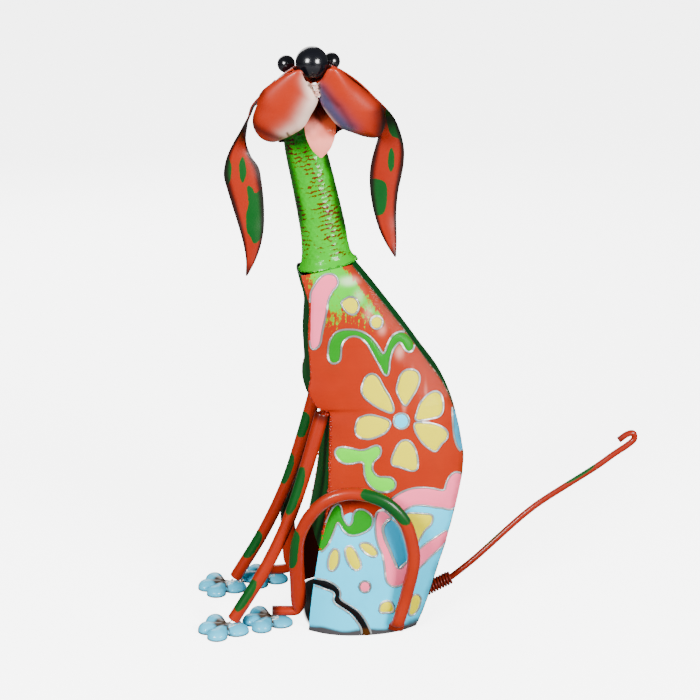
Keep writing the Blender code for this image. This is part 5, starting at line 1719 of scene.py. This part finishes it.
@dataclass
class Limbs:
    """The four tube legs and the four stamped paws."""

    body: Body
    radius: float = 5.3
    sides: int = 28
    front: Rows = (
        (-28.7, 38.0, 209.6), (-43.8, 41.5, 158.1), (-61.2, 44.5, 108.2), (-84.5, 47.5, 59.5),
        (-114.1, 49.5, 10.98))
    lean: Pair = (-2.0, 4.5)
    arch: Rows = (
        (37.6, 77.0, 16), (44.2, 79.5, 40.8), (50.4, 83.0, 74), (48.4, 83.5, 97.5), (40.2, 83.5, 119.5),
        (22.5, 81.0, 136.6), (-3.9, 77.0, 143.7), (-27.5, 73.0, 137.4), (-44.6, 67.0, 119),
        (-54.0, 60.5, 96), (-56.0, 54.0, 73), (-54.6, 46.0, 43), (-53.4, 40.0, 22))
    rear_end: Pair = (35.4, 3.6)
    heel: Rows = (
        (-54.4, 37.0, 12.2), (-59.5, 35.6, 11.0), (-68.0, 34.6, 11.0), (-78.4, 34.2, 11.4))
    far_shift: float = 30.0
    stand_off: float = 4.0
    flat_end: Pair = (7.2, 2.1)
    flat_bar: Pair = (4.6, 5.6)
    beaten: Pair = (1.13, 0.24)
    toes: Rows = ((-9.0, 16.2, 9.4), (-16.6, 0.6, 9.4), (-8.2, -14.8, 9.6))
    heel_lobe: Sequence[float] = (10.6, -4.2, 11.6)
    hub: Sequence[float] = (0.0, 0.0, 12.0)
    dome: float = 9.2
    rim: float = 1.2
    hub_share: float = 0.83
    paws: dict[str, Triple] = field(default_factory=lambda: {
        "paw_front_left": (-123.8, -49.5, 0.9), "paw_front_right": (-121.3, 49.5, 0.9),
        "paw_hind_left": (-81.2, -35.5, 0.72), "paw_hind_right": (-78.4, 66.8, 0.72)})

    @staticmethod
    def spots(path: Array, radii: Array, sides: int, brushed: Rows) -> Array:
        """Distances to brushed patches on a bar.

        Args:
            path: the bar's centre line.
            radii: its two radii at each point.
            sides: how many sides it has.
            brushed: x, z, half length, half reach round, and the facing direction's x, y, z.

        Returns:
            Path by sides distances, negative inside a patch.
        """
        along, out, side, turn = bar_frame(path, (0, 1, 0), sides)
        normal = out[:, None] * np.cos(turn)[None, :, None] + side[:, None] * np.sin(turn)[None, :, None]
        length = run_length(path)
        answer = np.full((len(path), sides), FAR)
        for x, z, half, reach, *facing in brushed:
            here = int(np.argmin((path[:, 0] - x) ** 2 + (path[:, 2] - z) ** 2))
            want = np.array(facing, float)
            want = unit(want - along * (along @ want)[:, None])
            angle = np.arccos(np.clip(np.sum(normal * want[:, None], -1), -1, 1)) * radii.mean()
            run = np.abs(length - length[here])[:, None]
            size = ((run / half) ** 3 + (angle / reach) ** 3) ** (1 / 3)
            answer = np.minimum(answer, (size - 1) * min(half, reach))
        return answer

    def tube(self, node: str, path: Array, radii: Array, brushed: Rows, airbrush_and_shade: Array) -> None:
        """One leg in place of its CAD node, with how dark it is made at each place along it."""
        layers = {"spot": self.spots(path, radii, self.sides, brushed),
                  "airbrush_and_shade": np.tile(airbrush_and_shade[:, None], (1, self.sides))}
        piece = Pieces.bar(node + "_tube", path, radii, self.sides, layers)
        Pieces.dress(piece, Spotted("leg_orange"), Slot.ORANGE, node)

    def front_legs(self) -> None:
        """The two straight legs."""
        left = (-0.75, -0.65, 0.0)
        brushed = (((-54.5, 137.0, 24, 6.6, *left), (-103.0, 36.0, 17.5, 6.2, *left)),
                   ((-35.5, 172.5, 13.5, 6.8, *left), (-50.5, 125.5, 17, 7.5, -0.9, -0.2, 0.0),
                    (-91.0, 46.5, 16, 6.6, *left)))
        for node, side, lean, spots in (("front_leg_left", -1, self.lean[0], brushed[0]),
                                        ("front_leg_right", 1, self.lean[1], brushed[1])):
            path = smooth_curve(self.front, 150)
            path[:, 0] += lean * (1 - path[:, 2] / self.front[0][2])
            path[:, 1] *= side
            upper = smoothstep(90, 190, path[:, 2])
            path[:, 0] -= 1.2 * upper * (side < 0)
            radii = self.radius * (self.beaten[0] + self.beaten[1] * 0.5 * upper[:, None]) * np.ones((150, 2))
            # The leg is made darker at its top end, where it meets the body.
            airbrush_and_shade = 0.75 * smoothstep(9, 1, np.linspace(0, 150, 150))
            self.tube(node, path, radii, spots, airbrush_and_shade)

    def hind_path(self, side: float) -> tuple[Array, Array]:
        """The arch's centre line and radii, rear end first."""
        x, z = self.rear_end
        seat = float(self.body.depth(np.array(x), np.array(z))) + self.flat_end[1] + 2 * GAP
        arch = []
        for ax, ay, az in self.arch:
            if ax > -30:
                seam = float(self.body.depth(np.array(ax), np.array(az)))
                ay = max(ay, seam + self.radius + self.stand_off)
            if side > 0 and ax < 0:
                ay += self.far_shift * (1 - min(1.0, max(0.0, (az - 10) / 110)))
            wide = self.beaten[0] + (self.beaten[1] * float(smoothstep(95, 60, az)) if ax < -30 else 0.0)
            arch.append((ax, ay, az, self.radius * wide, self.radius))
        shift = self.far_shift if side > 0 else 0.0
        heel = [(hx, hy + shift, hz) for hx, hy, hz in self.heel]
        stations = [(x, seat, z, *self.flat_end), (x + 1.2, seat + 0.8, z + 6, *self.flat_end), *arch,
                    (*heel[0], self.radius * 0.75, self.radius * 1.05)]
        stations += [(*p, *self.flat_bar) for p in heel[1:]]
        line = smooth_curve(stations, 260)
        line[:, 1] *= side
        return line[:, :3], line[:, 3:5]

    def hind_legs(self) -> None:
        """The two arched legs with their hammered ends."""
        for node, side in (("hind_leg_left", -1.0), ("hind_leg_right", 1.0)):
            path, radii = self.hind_path(side)
            spots = ((23.0, 131.5, 26, 9.0, 0.3, side, 0.6), (-56.0, 85.0, 21, 7.0, -0.9, -0.45, 0.0))
            along = np.linspace(0, 1, len(path))
            # The leg is made darker at both ends.
            airbrush_and_shade = 0.8 * smoothstep(0.965, 1.0, along) + 0.6 * smoothstep(0.03, 0.0, along)
            self.tube(node, path, radii, spots, airbrush_and_shade)

    def lobes(self, heel_share: float) -> Array:
        """Rows of (x, y, radius, height) for one paw's domes."""
        heel = self.dome * heel_share
        rows = [(*toe, self.dome) for toe in self.toes]
        return np.array([*rows, (*self.heel_lobe, heel), (*self.hub, self.hub_share * heel)])

    def paw(self, node: str, x: float, y: float, heel_share: float) -> None:
        """One stamped paw: domes that meet in brown creases."""
        lobes = self.lobes(heel_share)
        spokes, rings = 144, 30
        turn = 2 * np.pi * np.arange(spokes) / spokes
        away = np.stack([np.cos(turn), np.sin(turn)], 1)
        along = lobes[:, :2] @ away.T
        aside = np.abs(lobes[:, :1] * away[:, 1] - lobes[:, 1:2] * away[:, 0])
        span = np.sqrt(np.maximum(lobes[:, 2:3] ** 2 - aside**2, 0))
        reach = np.where(aside < lobes[:, 2:3], along + span, 0).max(axis=0)
        share = np.sin(np.pi / 2 * np.linspace(0, 1, rings + 1)[1:])
        flat = away[None] * (reach[None] * share[:, None])[..., None]
        flat = np.concatenate([flat.reshape(-1, 2), [[0.0, 0.0]]])
        centres = lobes[None, :, :2]
        share = np.sum(flat[:, None] * centres, -1) / np.maximum(np.sum(centres**2, -1), 1e-6)
        share = np.clip(share, 0.25, 1)
        wide = lobes[None, :, 2] * np.where(np.arange(len(lobes)) < 4, 0.42 + 0.58 * share, 1.0)
        gap = np.linalg.norm(flat[:, None] - centres * share[..., None], axis=-1) / wide
        swell = np.sqrt(1 - np.minimum(1, gap) ** 2)
        height = self.rim + (lobes[:, 3] * (0.86 + 0.14 * share) - self.rim) * swell
        ranked = np.sort(height, axis=1)
        top = ranked[:, -1]
        reach = np.linalg.norm(flat, axis=1)
        crease = np.clip(1.15 - (top - ranked[:, -2]) / 1.7, 0, 1) * smoothstep(21, 9, reach)
        crease = np.maximum(crease, 1.25 * smoothstep(12.5, 4, np.linalg.norm(flat - (-3.5, 1.5), axis=1)))
        crease = np.maximum(crease, 0.6 * smoothstep(2.2, 1.2, top))
        count = rings * spokes
        inner = count - spokes
        base = np.column_stack([flat[inner:count], np.zeros(spokes)])
        points = np.vstack([np.column_stack([flat, top]), base, [[0, 0, 0]]]) + np.array([x, y, 0.0])
        faces = grid_quads(rings - 1, spokes, closed=True).tolist()
        first_base = count + 1
        for k in range(spokes):
            n = (k + 1) % spokes
            faces += [[k, n, count], [inner + k, first_base + k, first_base + n, inner + n],
                      [first_base + k, first_base + n, len(points) - 1]]
        extra = np.zeros(spokes + 1)
        chip = 0.64 * smoothstep(9, 3, np.linalg.norm(flat - (6.0, -4.0), axis=1))
        layers = {"crease": np.concatenate([crease, extra + 0.8]), "chip": np.concatenate([chip, extra])}
        piece = Pieces.mesh(node + "_stamped", points, faces, layers, angle=60.0)
        Pieces.dress(piece, PawBlue("paw_blue", roughness=0.34, coat=0.3, skin=0.5), Slot.BLUE, node)

    def build(self, lines: Lines) -> None:
        """Legs, paws and the welds that hold them."""
        self.front_legs()
        self.hind_legs()
        for node, (x, y, heel_share) in self.paws.items():
            self.paw(node, x, y, heel_share)
        chips = Weld("weld_chips", light=srgb(190, 176, 160), deep=srgb(100, 50, 30), share=0.5)
        for side, lean, label in ((-1, self.lean[0], "left"), (1, self.lean[1], "right")):
            x, y, z = self.front[0]
            turn = np.linspace(0, 2 * np.pi, 17)[:-1]
            top = np.stack([x + 4.6 * np.cos(turn), side * y + 4.6 * np.sin(turn), z - 0.6 + turn * 0], 1)
            lines.weld(f"shoulder_weld_{label}", [(top, True)], 1.7, WELD_ORANGE, Slot.ORANGE, spacing=1.3,
                       scatter=0.6)
            x, y, z = self.front[-1]
            foot = np.stack([x + lean + 1.5 + 5.6 * np.cos(turn), side * y + 5.2 * np.sin(turn),
                             7.4 + turn * 0], 1)
            lines.weld(f"paw_weld_{label}", [(foot, True)], 0.85, chips, Slot.BLUE, spacing=1.5, scatter=0.5)


@dataclass
class Tail:
    """The close-wound spring and the long rod that stands in it."""

    body: Body
    y: float = -12.0
    root: float = 12.6
    rise: float = math.radians(26.0)
    rod: float = 3.0
    wire: float = 1.35
    clearance: float = 1.0
    turns: int = 9
    line: Sequence[Pair] = (
        (99.5, 29.8), (118.5, 45.2), (136.0, 61.2), (154.3, 78.4), (171.0, 93.2), (190.0, 107.2),
        (235.6, 136.0), (254.0, 149.2), (268.0, 158.6))
    hook: Sequence[Pair] = ((274.0, 164.6), (272.5, 170.2), (266.5, 169.2), (258.5, 163.6))

    def build(self, lines: Lines) -> None:
        """Spring, rod and root weld."""
        along = np.array([math.cos(self.rise), 0, math.sin(self.rise)])
        out = np.array([-math.sin(self.rise), 0, math.cos(self.rise)])
        coil = self.rod + self.clearance + self.wire
        half = float(reader(self.body.half_width)(self.root))
        crown = float(reader(self.body.back_crown)(self.root)) * (1 - (self.y / half) ** 2)
        edge = reader(self.body.back)
        root = np.array([float(edge(self.root)) + crown, self.y, self.root])
        skew = math.tan(self.rise + math.atan(float(edge(self.root + 1) - edge(self.root))))
        start = root + along * (1.2 * GAP + self.wire + (coil + self.wire) * skew)
        pitch = 2 * self.wire + GAP
        turn = np.linspace(0, 2 * np.pi * self.turns, self.turns * 40)
        path = (start + along * (pitch * turn / (2 * np.pi))[:, None] + out * (coil * np.cos(turn))[:, None]
                + np.array([0, 1, 0]) * (coil * np.sin(turn))[:, None])
        radii = np.full((len(path), 2), self.wire)
        shade = 0.25 + 0.25 * waves(path, 20, SEED)
        layers = {"spot": np.full((len(path), 14), FAR), "airbrush_and_shade": np.tile(shade[:, None], (1, 14))}
        dark = Spotted("tail_red", light=srgb(112, 24, 8), deep=srgb(76, 14, 5))
        piece = Pieces.bar("tail_spring_wire", path, radii, 14, layers, toward=tuple(along), blunt=0.3)
        Pieces.dress(piece, dark, Slot.RED_BROWN, "tail_spring")
        foot = root + along * (1.2 * GAP + self.rod * skew)
        tip = start + along * pitch * self.turns
        rows = [(p[0], self.y, p[2]) for p in (foot, start, tip)]
        rows += [(x, self.y, z) for x, z in (*self.line, *self.hook)]
        path = smooth_curve(rows, 300)
        radii = np.full((len(path), 2), self.rod)
        spots = ((224.0, 128.8, 17, 3.6, -0.5, 0.0, 1.0), (140.0, 65.0, 16, 2.6, -0.8, 0.4, 1.0))
        layers = {"spot": Limbs.spots(path, radii, 20, spots)}
        share = np.linspace(0, 1, len(path))
        # The rod is made darker at its root and at its tip.
        airbrush_and_shade = 0.3 * smoothstep(0.3, 0.0, share) + 0.5 * smoothstep(0.97, 1.0, share)
        layers["airbrush_and_shade"] = np.tile(airbrush_and_shade[:, None], (1, 20))
        piece = Pieces.bar("tail_rod_bar", path, radii, 20, layers)
        orange = Spotted("tail_orange", light=srgb(134, 29, 8), deep=srgb(98, 17, 6), wobble=0.6)
        Pieces.dress(piece, orange, Slot.RED_BROWN, "tail_rod")
        turn = np.linspace(0, 2 * np.pi, 13)[:-1]
        ring = root + np.stack([np.sin(turn) * -1.8, np.cos(turn) * 5.2, np.sin(turn) * 5.2], 1)
        weld = Weld("weld_dark", light=srgb(70, 20, 10), deep=srgb(24, 10, 7), bare=srgb(110, 60, 44))
        lines.weld("tail_weld", [(ring, True)], 1.1, weld, Slot.RED_BROWN, spacing=1.4, scatter=0.5)


class Studio:
    """The camera, lights and white stage of the photograph.

    FLOOR_SEEN and FLOOR_BOUNCE are the floor's greys to the eye and to the object. SHADE_MIDDLE and
    SHADE_HALF place the painted shadow on the floor inside the hollow body. SKY_SEEN and SKY_LIGHT are the
    world's strength to the eye and to the object.
    """

    CAMERA = (-167.2, -1591.2, 730.0)
    TARGET = (0.0, 0.0, 258.5)
    LENS = 91.34
    SENSOR = 36.0
    FLOOR_REACH = 9.0
    FLOOR_SEEN = (0.92, 0.92, 0.92)
    FLOOR_BOUNCE = (0.16, 0.16, 0.16)
    FLOOR_GLOW = 5.5
    SHADE_MIDDLE = 6.0
    SHADE_HALF = (54.0, 68.0)
    SKY_SEEN = 5.2
    SKY_LIGHT = 0.1

    def build(self) -> None:
        """Everything outside the object."""
        self.camera()
        self.world()
        self.softbox("light_left", (-1250, -1650, 1150), 0.62, 88.0)
        self.softbox("light_behind", (-300, 1800, 1300), 1.4, 34.0)
        self.softbox("light_right", (1050, -1500, 900), 0.62, 76.0)
        self.stage()

    def aim(self, thing: bpy.types.Object, place: Sequence[float], at: Sequence[float]) -> None:
        """Puts a camera or light at place, turned toward at."""
        start, end = Vector(DRAWING.place(place)), Vector(DRAWING.place(at))
        thing.location = start
        thing.rotation_mode = "QUATERNION"
        thing.rotation_quaternion = (end - start).to_track_quat("-Z", "Y")
        bpy.context.scene.collection.objects.link(thing)

    def camera(self) -> None:
        """The photograph's viewpoint."""
        lens = bpy.data.cameras.new("camera")
        lens.lens, lens.sensor_width = self.LENS, self.SENSOR
        lens.clip_start, lens.clip_end = 0.05, 100.0
        thing = bpy.data.objects.new("camera", lens)
        self.aim(thing, self.CAMERA, self.TARGET)
        bpy.context.scene.camera = thing

    def world(self) -> None:
        """Soft light from all round."""
        world = bpy.data.worlds.new("studio")
        world.use_nodes = True
        background = world.node_tree.nodes["Background"]
        background.inputs["Color"].default_value = (1.0, 1.0, 1.0, 1.0)
        graph = Graph(world.node_tree)
        seen = graph.node("ShaderNodeLightPath").outputs["Is Camera Ray"]
        glow = graph.plus(graph.times(seen, self.SKY_SEEN), self.SKY_LIGHT)
        graph.feed(background.inputs["Strength"], glow)
        bpy.context.scene.world = world

    def softbox(self, name: str, place: Sequence[float], size: float, power: float) -> None:
        """One square area light."""
        light = bpy.data.lights.new(name, "AREA")
        light.shape, light.size, light.energy = "SQUARE", size, power
        self.aim(bpy.data.objects.new(name, light), place, (-20, 0, 260))

    def shade(self, graph: Graph) -> Socket:
        """The dark floor inside the hollow body, 1 where no light reaches it."""
        place = graph.node("ShaderNodeSeparateXYZ")
        graph.feed(place.inputs[0], graph.object_place())
        middle = float(DRAWING.place((self.SHADE_MIDDLE, 0, 0))[0])
        across = graph.math("SUBTRACT", place.outputs["X"], middle)
        reach = [graph.math("POWER", graph.math("ABSOLUTE", graph.math("DIVIDE", value, half / 1000)), 4.0)
                 for value, half in zip((across, place.outputs["Y"]), self.SHADE_HALF)]
        return graph.math("SUBTRACT", 1.0, graph.step(graph.plus(*reach), 0.8, 1.05))

    def stage(self) -> None:
        """A white floor that is seen bright, with a painted shadow inside the hollow body, but throws little
        light back up.
        """
        white = bpy.data.materials.new("stage_white")
        white.use_nodes = True
        graph = Graph(white.node_tree)
        shader = white.node_tree.nodes["Principled BSDF"]
        seen = graph.node("ShaderNodeLightPath").outputs["Is Camera Ray"]
        bright = graph.mix(self.shade(graph), self.FLOOR_SEEN, (0.0, 0.0, 0.0))
        graph.feed(shader.inputs["Base Color"], graph.mix(seen, self.FLOOR_BOUNCE, bright))
        graph.feed(shader.inputs["Roughness"], 0.9)
        graph.feed(shader.inputs["Emission Color"], graph.mix(seen, (0.0, 0.0, 0.0), bright))
        graph.feed(shader.inputs["Emission Strength"], self.FLOOR_GLOW)
        made = bpy.data.meshes.new("floor")
        reach = self.FLOOR_REACH
        made.from_pydata([(-reach, -reach, 0), (reach, -reach, 0), (reach, reach, 0), (-reach, reach, 0)], [],
                         [(0, 1, 2, 3)])
        made.materials.append(white)
        thing = bpy.data.objects.new("floor", made)
        bpy.context.scene.collection.objects.link(thing)


def main() -> None:
    """Builds the dog and its studio in order."""
    logging.basicConfig(level=logging.INFO, format="%(name)s %(message)s")
    lines = Lines()
    body = Body()
    head = Head()
    body.build(lines)
    Neck().build(lines)
    head.hood()
    head.jowl("jowl_right_dome", head.jowl_right, "jowl_right", True)
    head.jowl("jowl_left_dome", head.jowl_left, "jowl_left", False)
    head.muzzle_weld(lines)
    head.balls()
    head.tongue()
    Ears(head).build()
    Limbs(body).build(lines)
    Tail(body).build(lines)
    Studio().build()


if __name__ == "__main__":
    main()
